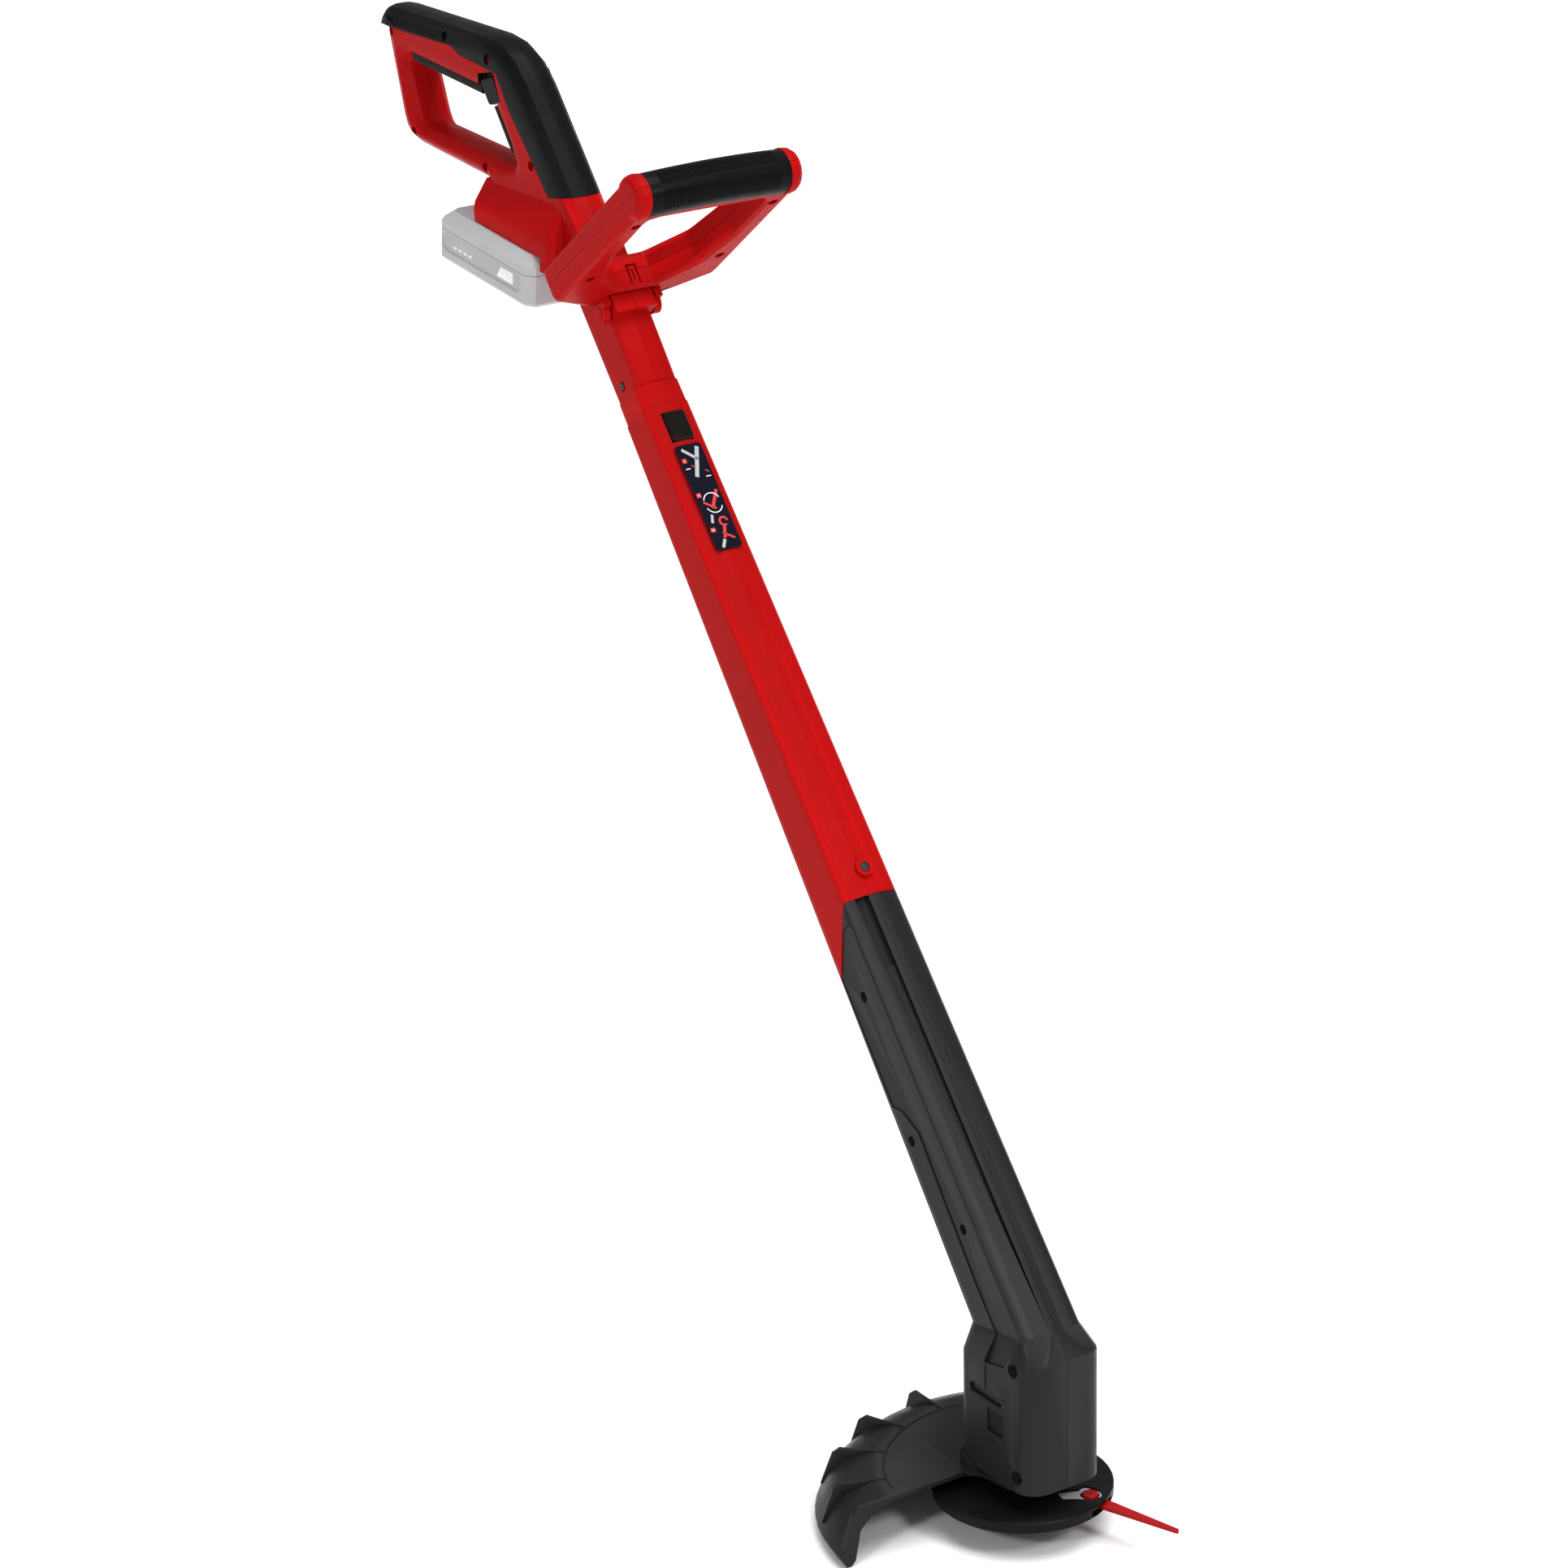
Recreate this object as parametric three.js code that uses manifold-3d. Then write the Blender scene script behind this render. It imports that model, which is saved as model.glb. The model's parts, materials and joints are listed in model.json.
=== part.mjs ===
// Cordless string trimmer: a leaning shaft with a motor head, a cutting disc with a swinging blade,
// a guard, a pull-off upper handle with a slide-on battery, and a fold-down front handle.
// Millimetres. The origin is the centre of the cutting disc's underside, +X points forward, +Z up.
import * as THREE from "three";
import { ConvexGeometry } from "three/addons/geometries/ConvexGeometry.js";
import { mergeVertices } from "three/addons/utils/BufferGeometryUtils.js";
import Module from "manifold-3d";

const wasm = await Module();
wasm.setup();

// ---------------------------------------------------------------- driving dimensions
const GAP = 0.3; // clearance between pieces that touch
const FAR = 400; // half size of the blocks that trim one side of a piece
const LEAN = THREE.MathUtils.degToRad(40); // shaft lean from vertical
const SHAFT_ZERO_Z = 181.5; // height where the shaft's front line crosses the disc axis

const SHAFT_WIDTH_AT_ZERO = 47.6; // across the shaft at s = 0
const SHAFT_WIDTH_TAPER = 0.0173; // width lost per mm up the shaft
const SHAFT_DEPTH_AT_ZERO = 58; // front to back at s = 0
const SHAFT_DEPTH_TAPER = 0.0345;
const TUBE_WALL = 2.2;
const TUBE_TOP_S = 629;
const TUBE_BOTTOM_S = 256; // where the red tube ends on the front face
const TUBE_TONGUE_S = 210; // where its slanted tongue ends at the back
const COLLAR_TOP_S = 646;

const UPPER_WIDTH = 33; // upper tube of the handle, at the collar
const UPPER_DEPTH = 36;
const UPPER_WALL = 2.6;
const UPPER_TOP_S = 768;
const SPIGOT_BOTTOM_S = 560;
const SPIGOT_TOP_S = 735;
const SPIGOT_WIDTH = UPPER_WIDTH - 2 * UPPER_WALL - 2 * GAP;
const SPIGOT_DEPTH = 25;
const SPIGOT_FRONT_A = -6;
const SPIGOT_WALL = 1.6;

const HEAD_FRONT_X = 50.4; // motor housing
const HEAD_BACK_X = -29;
const HEAD_HALF_WIDTH = 32;
const HEAD_BOTTOM_Z = 24;
const HEAD_RIM_BACK_Z = 104;
const HEAD_RIM_FRONT_Z = 118;
const HEAD_WALL = 2.8;

const DISC_RADIUS = 61;
const DISC_HEIGHT = 8;
const DISC_WEB = 2.4;
const BLADE_POST = new THREE.Vector2(41.5, 25); // where the blade hooks on
const BLADE_TIP = new THREE.Vector2(110.4, 45.8); // cutting radius 119.8
const BLADE_POST_RADIUS = 3;

const GUARD_TOP_Z = 20.5;
const GUARD_START_DEG = 130; // the guard runs anticlockwise seen from above, from here
const GUARD_RIB_DEG = [157.5, 180, 202.5, 225, 247.5];

const BAR_HALF_WIDTH = 17; // rear handle
const BAR_ROUND = 13;
const GRIP_THICKNESS = 2.2;
const SHELL_INSET = GRIP_THICKNESS + GAP;
const SHELL_HOLLOW = SHELL_INSET + 2;

const BATTERY_TILT = THREE.MathUtils.degToRad(6);
const BATTERY_LENGTH = 126;
const BATTERY_WIDTH = 76;
const BATTERY_HEIGHT = 37;
const BATTERY_TOP_CENTRE = new THREE.Vector3(-583, 0, 751.5);

const FRONT_HALF_WIDTH = 65.5; // front handle, across
const FRONT_THICKNESS = 26; // along the shaft
const FRONT_CENTRE_S = 722;
const FRONT_TILT = THREE.MathUtils.degToRad(2.5);
const FRONT_GRIP_A = 153;
const FRONT_GRIP_RADIUS = 15;
const FRONT_GRIP_CORE = 10.5;
const FRONT_GRIP_HALF_LENGTH = 55;
const HINGE_A = -2; // front handle's pivot, on the sides of the upper tube
const HINGE_S = 703;
const HINGE_RADIUS = 4.2;
const HINGE_EYE_RADIUS = 7.2;
const HINGE_EYE_OUT = 23.5; // how far from the middle the eyes reach

const SCREW_HEAD_RADIUS = 3.4;
const SCREW_SHANK_RADIUS = 1.7;

// ---------------------------------------------------------------- materials
const plastic = (color, roughness = 0.5) =>
  new THREE.MeshStandardMaterial({ color, roughness, metalness: 0 });
const metal = (color, roughness = 0.35) =>
  new THREE.MeshStandardMaterial({ color, roughness, metalness: 0.9 });
const material = {
  red: plastic(0xb0161a, 0.42),
  dark: plastic(0x3a383a, 0.5),
  black: plastic(0x1d1c1c, 0.55),
  rubber: plastic(0x201f1f, 0.7),
  glossBlack: plastic(0x151413, 0.2),
  label: plastic(0x0a0d1c, 0.4),
  battery: plastic(0xbdbdbd, 0.5),
  bladeRed: plastic(0xc01a20, 0.4),
  cell: plastic(0x3c6fae, 0.5),
  steel: metal(0x9a9a9c),
  darkSteel: metal(0x3b3b3d, 0.45),
  copper: metal(0xb06a3a, 0.4),
  wire: plastic(0x222222, 0.6),
};

// ---------------------------------------------------------------- solids
// A closed three.js geometry as a solid that can be joined and cut. Its triangles are turned to face out.
function solid(geometry) {
  const bare = geometry.clone();
  bare.deleteAttribute("normal");
  bare.deleteAttribute("uv");
  const merged = mergeVertices(bare, 1e-4);
  const position = merged.attributes.position;
  const corner = (index) => new THREE.Vector3().fromBufferAttribute(position, index);
  const triangles = [];
  let volume = 0;
  for (let start = 0; start < merged.index.count; start += 3) {
    const [a, b, c] = [0, 1, 2].map((step) => merged.index.getX(start + step));
    if (a === b || b === c || c === a) continue;
    triangles.push([a, b, c]);
    volume += corner(a).dot(corner(b).cross(corner(c)));
  }
  const outward = volume < 0 ? triangles.map(([a, b, c]) => [a, c, b]) : triangles;
  const vertProperties = new Float32Array(position.array);
  const triVerts = new Uint32Array(outward.flat());
  return new wasm.Manifold(new wasm.Mesh({ numProp: 3, vertProperties, triVerts }));
}

function geometryOf(shape) {
  const mesh = shape.getMesh();
  const geometry = new THREE.BufferGeometry();
  geometry.setAttribute(
    "position",
    new THREE.BufferAttribute(new Float32Array(mesh.vertProperties), 3),
  );
  geometry.setIndex(new THREE.BufferAttribute(new Uint32Array(mesh.triVerts), 1));
  geometry.computeVertexNormals();
  return geometry;
}

const join = (first, ...others) => others.reduce((sum, next) => sum.add(next), first);
const cut = (first, ...tools) => tools.reduce((rest, tool) => rest.subtract(tool), first);

function box(xLow, xHigh, yLow, yHigh, zLow, zHigh) {
  const geometry = new THREE.BoxGeometry(xHigh - xLow, yHigh - yLow, zHigh - zLow);
  return geometry.translate((xLow + xHigh) / 2, (yLow + yHigh) / 2, (zLow + zHigh) / 2);
}

// A cylinder from one point to another.
function rod(from, to, radius, sides = 16, endRadius = radius) {
  const start = new THREE.Vector3(...from);
  const end = new THREE.Vector3(...to);
  const axis = end.clone().sub(start);
  const geometry = new THREE.CylinderGeometry(endRadius, radius, axis.length(), sides);
  const turn = new THREE.Quaternion().setFromUnitVectors(new THREE.Vector3(0, 1, 0), axis.normalize());
  geometry.applyQuaternion(turn);
  return geometry.translate(...start.add(end).multiplyScalar(0.5).toArray());
}

// A profile of [radius, z] points turned about the Z axis.
function turned(profile, segments = 32) {
  const points = profile.map(([radius, z]) => new THREE.Vector2(radius, z));
  return new THREE.LatheGeometry(points, segments).rotateX(Math.PI / 2);
}

// An outline in the XZ plane made thick along Y, with rounded edges.
// inset shrinks it on every side.
function sideSolid(shape, halfWidth, { round = 0, inset = 0, segments = 3, curve = 4 } = {}) {
  const depth = 2 * (halfWidth - inset - round);
  const geometry = new THREE.ExtrudeGeometry(shape, {
    depth,
    curveSegments: curve,
    bevelEnabled: round > 0 || inset > 0,
    bevelThickness: Math.max(round, 0.01),
    bevelSize: round,
    bevelOffset: -round - inset,
    bevelSegments: segments,
  });
  return solid(geometry.translate(0, 0, -depth / 2).rotateX(Math.PI / 2));
}

function polygon(points) {
  return new THREE.Shape(points.map(([x, y]) => new THREE.Vector2(x, y)));
}

// A polygon whose corners are rounded; each point is [x, y, radius].
function roundedPolygon(points) {
  const shape = new THREE.Shape();
  const count = points.length;
  points.forEach(([x, y, radius], index) => {
    const corner = new THREE.Vector2(x, y);
    const [beforeX, beforeY] = points[(index + count - 1) % count];
    const [afterX, afterY] = points[(index + 1) % count];
    const before = new THREE.Vector2(beforeX, beforeY).sub(corner).normalize();
    const after = new THREE.Vector2(afterX, afterY).sub(corner).normalize();
    const halfAngle = Math.acos(THREE.MathUtils.clamp(before.dot(after), -1, 1)) / 2;
    const reach = radius / Math.tan(halfAngle);
    const start = corner.clone().addScaledVector(before, reach);
    const end = corner.clone().addScaledVector(after, reach);
    if (index === 0) shape.moveTo(start.x, start.y);
    else shape.lineTo(start.x, start.y);
    if (radius > 0) shape.quadraticCurveTo(corner.x, corner.y, end.x, end.y);
  });
  shape.closePath();
  return shape;
}

// Moves every edge of a polygon of [x, y, radius] corners outward; the corners stay rounded.
function offsetCorners(corners, distance) {
  const count = corners.length;
  const area = corners.reduce((sum, [x, y], index) => {
    const [nextX, nextY] = corners[(index + 1) % count];
    return sum + x * nextY - nextX * y;
  }, 0);
  const turn = Math.sign(area);
  const normal = (from, to) =>
    new THREE.Vector2(to[1] - from[1], from[0] - to[0]).normalize().multiplyScalar(turn);
  return corners.map((corner, index) => {
    const before = normal(corners[(index + count - 1) % count], corner);
    const after = normal(corner, corners[(index + 1) % count]);
    const shift = before.clone().add(after).multiplyScalar(distance / (1 + before.dot(after)));
    const convex = before.cross(after) * turn > 0;
    const radius = Math.max(0.2, corner[2] + (convex ? distance : -distance));
    return [corner[0] + shift.x, corner[1] + shift.y, radius];
  });
}

// A solid that stands along Z on a rounded polygon; each [z, distance] level moves its edges out or in.
function loft(corners, levels, divisions = 3) {
  const rings = levels.map(([, distance]) => {
    const points = roundedPolygon(offsetCorners(corners, distance)).getPoints(divisions);
    points.pop();
    return points;
  });
  const count = rings[0].length;
  const vertices = rings.flatMap((ring, level) =>
    ring.flatMap((point) => [point.x, point.y, levels[level][0]]));
  const index = [];
  for (let level = 0; level + 1 < levels.length; level++) {
    for (let step = 0; step < count; step++) {
      const a = level * count + step;
      const b = level * count + ((step + 1) % count);
      index.push(a, b, a + count, b, b + count, a + count);
    }
  }
  const top = (levels.length - 1) * count;
  const plan = rings[Math.floor(rings.length / 2)];
  const flip = THREE.ShapeUtils.isClockWise(plan);
  THREE.ShapeUtils.triangulateShape(plan, []).forEach(([a, b, c]) => {
    const [second, third] = flip ? [c, b] : [b, c];
    index.push(a, third, second, top + a, top + second, top + third);
  });
  const geometry = new THREE.BufferGeometry();
  geometry.setAttribute("position", new THREE.Float32BufferAttribute(vertices, 3));
  geometry.setIndex(index);
  return geometry;
}

// Levels of a slab whose edges are rounded over; inset shrinks it on every side.
function cushionLevels(halfThickness, round, inset, steps) {
  const side = Array.from({ length: steps + 1 }, (_, step) => {
    const angle = (step / steps) * (Math.PI / 2);
    const z = halfThickness - inset - round + round * Math.sin(angle);
    return [z, -inset - round * (1 - Math.cos(angle))];
  });
  return [...side.map(([z, distance]) => [-z, distance]).reverse(), ...side];
}

// A rounded slab with an opening through it, both given as corners; the opening's edges are rounded too.
function cushion(corners, opening, halfThickness, round, inset, steps) {
  const levels = cushionLevels(halfThickness, round, inset, steps);
  const [endZ, endDistance] = levels[levels.length - 1];
  const openLevels = [[-endZ - 5, endDistance], ...levels, [endZ + 5, endDistance]].map(([z, distance]) =>
    [z, -distance]);
  const divisions = steps > 2 ? 3 : 2;
  return cut(solid(loft(corners, levels, divisions)), solid(loft(opening, openLevels, divisions)));
}

const half = {
  right: (shape) => shape.subtract(solid(box(-2 * FAR, 2 * FAR, -GAP / 2, FAR, -FAR, 3 * FAR))),
  left: (shape) => shape.subtract(solid(box(-2 * FAR, 2 * FAR, -FAR, GAP / 2, -FAR, 3 * FAR))),
};

// ---------------------------------------------------------------- frames
// The shaft frame: local X is the distance a in front of the shaft's front line, local Z the distance
// s up the shaft. Local Y is the object's Y.
const trimmer = new THREE.Group();
const shaft = new THREE.Group();
shaft.position.z = SHAFT_ZERO_Z;
shaft.rotation.y = -LEAN;
shaft.updateMatrix();
trimmer.add(shaft);

const battery = new THREE.Group();
battery.position.copy(BATTERY_TOP_CENTRE);
battery.rotation.y = BATTERY_TILT;
battery.updateMatrix();
trimmer.add(battery);

function onShaft(a, y, s) {
  return new THREE.Vector3(a, y, s).applyMatrix4(shaft.matrix);
}

function fromShaft(geometry) {
  return geometry.applyMatrix4(shaft.matrix);
}

function addPiece(group, name, shape, look) {
  const geometry = geometryOf(shape.isBufferGeometry ? solid(shape) : shape);
  const mesh = new THREE.Mesh(geometry, look);
  mesh.name = name;
  group.add(mesh);
  return mesh;
}

// ---------------------------------------------------------------- shaft section
const SECTION_WIDTH = 42;
const SECTION_DEPTH = 46;
const SECTION_ROUND = 7;
const SECTION_CROWN = 3;

const shaftWidth = (s) => SHAFT_WIDTH_AT_ZERO - SHAFT_WIDTH_TAPER * s;
const shaftDepth = (s) => SHAFT_DEPTH_AT_ZERO - SHAFT_DEPTH_TAPER * s;

function sectionShape() {
  const side = SECTION_WIDTH / 2;
  const back = -SECTION_DEPTH;
  const shape = new THREE.Shape();
  shape.moveTo(back, 0);
  shape.lineTo(back, -side + SECTION_ROUND);
  shape.quadraticCurveTo(back, -side, back + SECTION_ROUND, -side);
  shape.lineTo(-SECTION_CROWN - SECTION_ROUND, -side);
  shape.quadraticCurveTo(-SECTION_CROWN, -side, -SECTION_CROWN, -side + SECTION_ROUND);
  shape.quadraticCurveTo(SECTION_CROWN, 0, -SECTION_CROWN, side - SECTION_ROUND);
  shape.quadraticCurveTo(-SECTION_CROWN, side, -SECTION_CROWN - SECTION_ROUND, side);
  shape.lineTo(back + SECTION_ROUND, side);
  shape.quadraticCurveTo(back, side, back, side - SECTION_ROUND);
  shape.closePath();
  return shape;
}

// A length of shaft in the shaft frame; width, depth and the place of its front are functions of s.
function shaftLength(sLow, sHigh, inset = 0, width = shaftWidth, depth = shaftDepth, front = () => 0) {
  const length = sHigh - sLow;
  const geometry = new THREE.ExtrudeGeometry(sectionShape(), {
    depth: length,
    bevelEnabled: false,
    curveSegments: 3,
    steps: 1,
  });
  const position = geometry.attributes.position;
  for (let index = 0; index < position.count; index++) {
    const s = sLow + position.getZ(index);
    const across = (width(s) - 2 * inset) / SECTION_WIDTH;
    const through = (depth(s) - 2 * inset) / SECTION_DEPTH;
    position.setXYZ(
      index,
      position.getX(index) * through - inset + front(s),
      position.getY(index) * across,
      s,
    );
  }
  return geometry;
}

// ---------------------------------------------------------------- screws
// A pan-head screw along the given direction; head is the point where the shank meets the head.
function screw(head, direction, length, headRadius = SCREW_HEAD_RADIUS) {
  const start = new THREE.Vector3(...head);
  const along = new THREE.Vector3(...direction).normalize();
  const top = start.clone().addScaledVector(along, -2.2);
  const tip = start.clone().addScaledVector(along, length);
  return join(
    solid(rod(top.toArray(), start.toArray(), headRadius, 10)),
    solid(
      rod(start.clone().addScaledVector(along, -0.5).toArray(), tip.toArray(), SCREW_SHANK_RADIUS, 6),
    ),
  );
}

// The hole that takes it: a wide bore from outside down to the head seat, and a bore for the shank.
function screwBore(head, direction, length, headRadius = SCREW_HEAD_RADIUS) {
  const start = new THREE.Vector3(...head);
  const along = new THREE.Vector3(...direction).normalize();
  const mouth = start.clone().addScaledVector(along, -30);
  const tip = start.clone().addScaledVector(along, length + 0.6);
  const seat = start.clone().addScaledVector(along, GAP);
  return join(
    solid(rod(mouth.toArray(), seat.toArray(), headRadius + 0.4, 10)),
    solid(rod(start.toArray(), tip.toArray(), SCREW_SHANK_RADIUS + GAP, 6)),
  );
}

// The boss that stands round the hole inside a pair of half shells, from one wall to the other.
function boss(x, z, halfWidth, radius = 5) {
  return solid(rod([x, -halfWidth, z], [x, halfWidth, z], radius, 8));
}

// ---------------------------------------------------------------- main tube, collar and lock button
const TONGUE_SHOULDER_A = -7;
const TONGUE_SLOPE = (TUBE_BOTTOM_S - TUBE_TONGUE_S) / 44;
const TUBE_SCREW_S = 274.6;
const BUTTON_LOW_S = 599.5;
const BUTTON_HIGH_S = 621.5;
const BUTTON_HALF_WIDTH = 8.5;
const BUTTON_PROUD = 1.6;
const COLLAR_SLEEVE_S = 582;
const LABEL_LOW_S = 515;
const LABEL_HIGH_S = 595.5;
const LABEL_HALF_WIDTH = 10.5;

// Everything above the slanted joint between the red tube and the dark housing.
function aboveJoint(shift = 0) {
  const slant = TONGUE_SLOPE * 60;
  const outline = polygon([
    [20, TUBE_BOTTOM_S + shift],
    [TONGUE_SHOULDER_A, TUBE_BOTTOM_S + shift],
    [TONGUE_SHOULDER_A - 60, TUBE_BOTTOM_S - slant + shift],
    [TONGUE_SHOULDER_A - 60, 900],
    [20, 900],
  ]);
  return sideSolid(outline, 60);
}

function mainTube() {
  const outer = solid(shaftLength(TUBE_TONGUE_S - 20, TUBE_TOP_S)).intersect(aboveJoint());
  const inner = solid(shaftLength(TUBE_TONGUE_S - 30, TUBE_TOP_S + 10, TUBE_WALL));
  const screwBoss = solid(rod([-1.5, 0, TUBE_SCREW_S], [2.4, 0, TUBE_SCREW_S], 6.4, 16));
  const buttonWindow = solid(
    box(
      -8,
      8,
      -BUTTON_HALF_WIDTH - GAP,
      BUTTON_HALF_WIDTH + GAP,
      BUTTON_LOW_S - GAP,
      BUTTON_HIGH_S + GAP,
    ),
  );
  return cut(join(outer, screwBoss), inner, buttonWindow, tubeScrewBore());
}

const tubeScrewBore = () => screwBore([0.2, 0, TUBE_SCREW_S], [-1, 0, 0], 16);


function tubeCollar() {
  const cap = solid(shaftLength(TUBE_TOP_S + GAP, COLLAR_TOP_S, 0.5));
  const sleeveInset = TUBE_WALL + GAP;
  const sleeve = solid(shaftLength(COLLAR_SLEEVE_S, TUBE_TOP_S + 2, sleeveInset));
  const bore = spigotEnvelope(COLLAR_SLEEVE_S - 5, COLLAR_TOP_S + 5, GAP);
  const buttonWindow = solid(
    box(
      -9,
      8,
      -BUTTON_HALF_WIDTH - GAP,
      BUTTON_HALF_WIDTH + GAP,
      BUTTON_LOW_S - GAP,
      BUTTON_HIGH_S + GAP,
    ),
  );
  return cut(join(cap, sleeve), bore, buttonWindow);
}

// The room the spigot takes, in the shaft frame, grown by a clearance.
function spigotEnvelope(sLow, sHigh, grow = 0, wall = 0) {
  const width = () => SPIGOT_WIDTH + 2 * grow - 2 * wall;
  const depth = () => SPIGOT_DEPTH + 2 * grow - 2 * wall;
  const geometry = shaftLength(sLow, sHigh, 0, width, depth);
  return solid(geometry.translate(SPIGOT_FRONT_A + grow - wall, 0, 0));
}

function lockButton() {
  const shape = roundedPolygon([
    [-BUTTON_HALF_WIDTH, BUTTON_LOW_S, 2.5],
    [BUTTON_HALF_WIDTH, BUTTON_LOW_S, 2.5],
    [BUTTON_HALF_WIDTH, BUTTON_HIGH_S, 2.5],
    [-BUTTON_HALF_WIDTH, BUTTON_HIGH_S, 2.5],
  ]);
  const geometry = new THREE.ExtrudeGeometry(shape, {
    depth: 2.2,
    bevelThickness: 1,
    bevelSize: 1,
    bevelOffset: -1,
    bevelSegments: 2,
    curveSegments: 4,
  });
  geometry.rotateX(Math.PI / 2).rotateZ(Math.PI / 2);
  geometry.computeBoundingBox();
  geometry.translate(BUTTON_PROUD - geometry.boundingBox.max.x, 0, 0);
  return solid(geometry);
}

function labelPlate() {
  const shape = roundedPolygon([
    [-LABEL_HALF_WIDTH, LABEL_LOW_S, 3],
    [LABEL_HALF_WIDTH, LABEL_LOW_S, 3],
    [LABEL_HALF_WIDTH, LABEL_HIGH_S, 3],
    [-LABEL_HALF_WIDTH, LABEL_HIGH_S, 3],
  ]);
  const geometry = new THREE.ExtrudeGeometry(
    shape,
    { depth: 0.5, bevelEnabled: false, curveSegments: 3 },
  );
  return solid(geometry.rotateX(Math.PI / 2).rotateZ(Math.PI / 2).translate(GAP, 0, 0));
}

// ---------------------------------------------------------------- lower housing
const NECK_TOP_S = 300;
const NECK_WALL = 2.4;
const SHAFT_WALL = 3;
const FUNNEL_FRONT_S = -62; // where the shaft meets the motor housing's shoulder, in front
const FUNNEL_BACK_S = -28; // and behind
const SPINDLE_HOLE_RADIUS = 13;
const LOWER_SCREWS = [
  { x: -147.9, z: 313.0, seat: 15, reach: 26 },
  { x: -91.6, z: 228.5, seat: 16, reach: 28 },
  { x: -34.2, z: 186.0, seat: 16, reach: 28 },
  { x: 32.5, z: 112.3, seat: 20, reach: 32 },
  { x: 36.0, z: 34.9, seat: 22, reach: 36 },
];

const rimHeight = (x) =>
  THREE.MathUtils.mapLinear(x, HEAD_BACK_X, HEAD_FRONT_X, HEAD_RIM_BACK_Z, HEAD_RIM_FRONT_Z);

// Corner points of the motor housing's rounded outline; height gives each point its z.
function headRing(inset, height) {
  const front = 16 - inset;
  const back = 10 - inset;
  const xLow = HEAD_BACK_X + inset;
  const xHigh = HEAD_FRONT_X - inset;
  const side = HEAD_HALF_WIDTH - inset;
  const corners = [
    [xHigh - front, side - front, front, 0],
    [xLow + back, side - back, back, 1],
    [xLow + back, -side + back, back, 2],
    [xHigh - front, -side + front, front, 3],
  ];
  const steps = 4;
  return corners.flatMap(([x, y, radius, quarter]) =>
    Array.from({ length: steps + 1 }, (_, step) => {
      const angle = (quarter + step / steps) * (Math.PI / 2);
      const px = x + radius * Math.cos(angle);
      const py = y + radius * Math.sin(angle);
      return new THREE.Vector3(px, py, height(px));
    }),
  );
}

// The shaft's section where it runs into the shoulder, on a slanted plane.
function funnelRing(inset) {
  return sectionShape().getPoints(3).map((point) => {
    const sReference = (FUNNEL_FRONT_S + FUNNEL_BACK_S) / 2;
    const a = (point.x * (shaftDepth(sReference) - 2 * inset)) / SECTION_DEPTH - inset;
    const y = (point.y * (shaftWidth(sReference) - 2 * inset)) / SECTION_WIDTH;
    const s = THREE.MathUtils.mapLinear(a, 0, -shaftDepth(sReference), FUNNEL_FRONT_S, FUNNEL_BACK_S);
    return onShaft(a, y, s);
  });
}

function headSolid(inset, zLow) {
  const bottom = headRing(inset, () => zLow);
  const rim = headRing(inset, rimHeight);
  const prism = solid(new ConvexGeometry([...bottom, ...rim]));
  const lap = headRing(inset, (x) => rimHeight(x) - 1);
  const shoulder = solid(new ConvexGeometry([...lap, ...rim, ...funnelRing(inset)]));
  return join(prism, shoulder);
}

function lowerHousing() {
  const aboveTube = solid(fromShaft(geometryOf(aboveJoint(-GAP))));
  const shaftOuter = cut(solid(fromShaft(shaftLength(FUNNEL_FRONT_S, TUBE_BOTTOM_S + 2))), aboveTube);
  const neck = solid(fromShaft(shaftLength(TUBE_TONGUE_S - 8, NECK_TOP_S, TUBE_WALL + GAP)));
  const shaftInner = solid(fromShaft(shaftLength(FUNNEL_FRONT_S + 2, TUBE_TONGUE_S - 4, SHAFT_WALL)));
  const neckInner = solid(
    fromShaft(shaftLength(TUBE_TONGUE_S - 10, NECK_TOP_S + 5, TUBE_WALL + GAP + NECK_WALL)),
  );
  const outer = join(headSolid(0, HEAD_BOTTOM_Z), shaftOuter, neck);
  const inner = join(headSolid(HEAD_WALL, HEAD_BOTTOM_Z + HEAD_WALL), shaftInner, neckInner);
  const bosses = LOWER_SCREWS.map(({ x, z }) => boss(x, z, 40)).reduce((sum, next) => sum.add(next));
  const bores = LOWER_SCREWS.map(({ x, z, seat, reach }) => screwBore([x, -seat, z], [0, 1, 0], reach));
  const spindle = solid(
    rod([0, 0, HEAD_BOTTOM_Z - 5], [0, 0, HEAD_BOTTOM_Z + 10], SPINDLE_HOLE_RADIUS, 24),
  );
  const shell = join(cut(outer, inner), bosses.intersect(outer));
  const tubeScrewRoom = solid(fromShaft(geometryOf(tubeScrewBore())));
  return cut(shell, spindle, cableRoom(), motorRoom(), guardScrewBore(), tubeScrewRoom, ...bores);
}

// ---------------------------------------------------------------- motor
const MOTOR_RADIUS = 18;
const MOTOR_LOW_Z = 34;
const MOTOR_HIGH_Z = 90;
const MOTOR_SHAFT_RADIUS = 2.5;
const BEARING_RADIUS = 7;

const motorRoom = () => solid(rod([0, 0, 28], [0, 0, MOTOR_HIGH_Z + 4], MOTOR_RADIUS + 1, 24));

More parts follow.
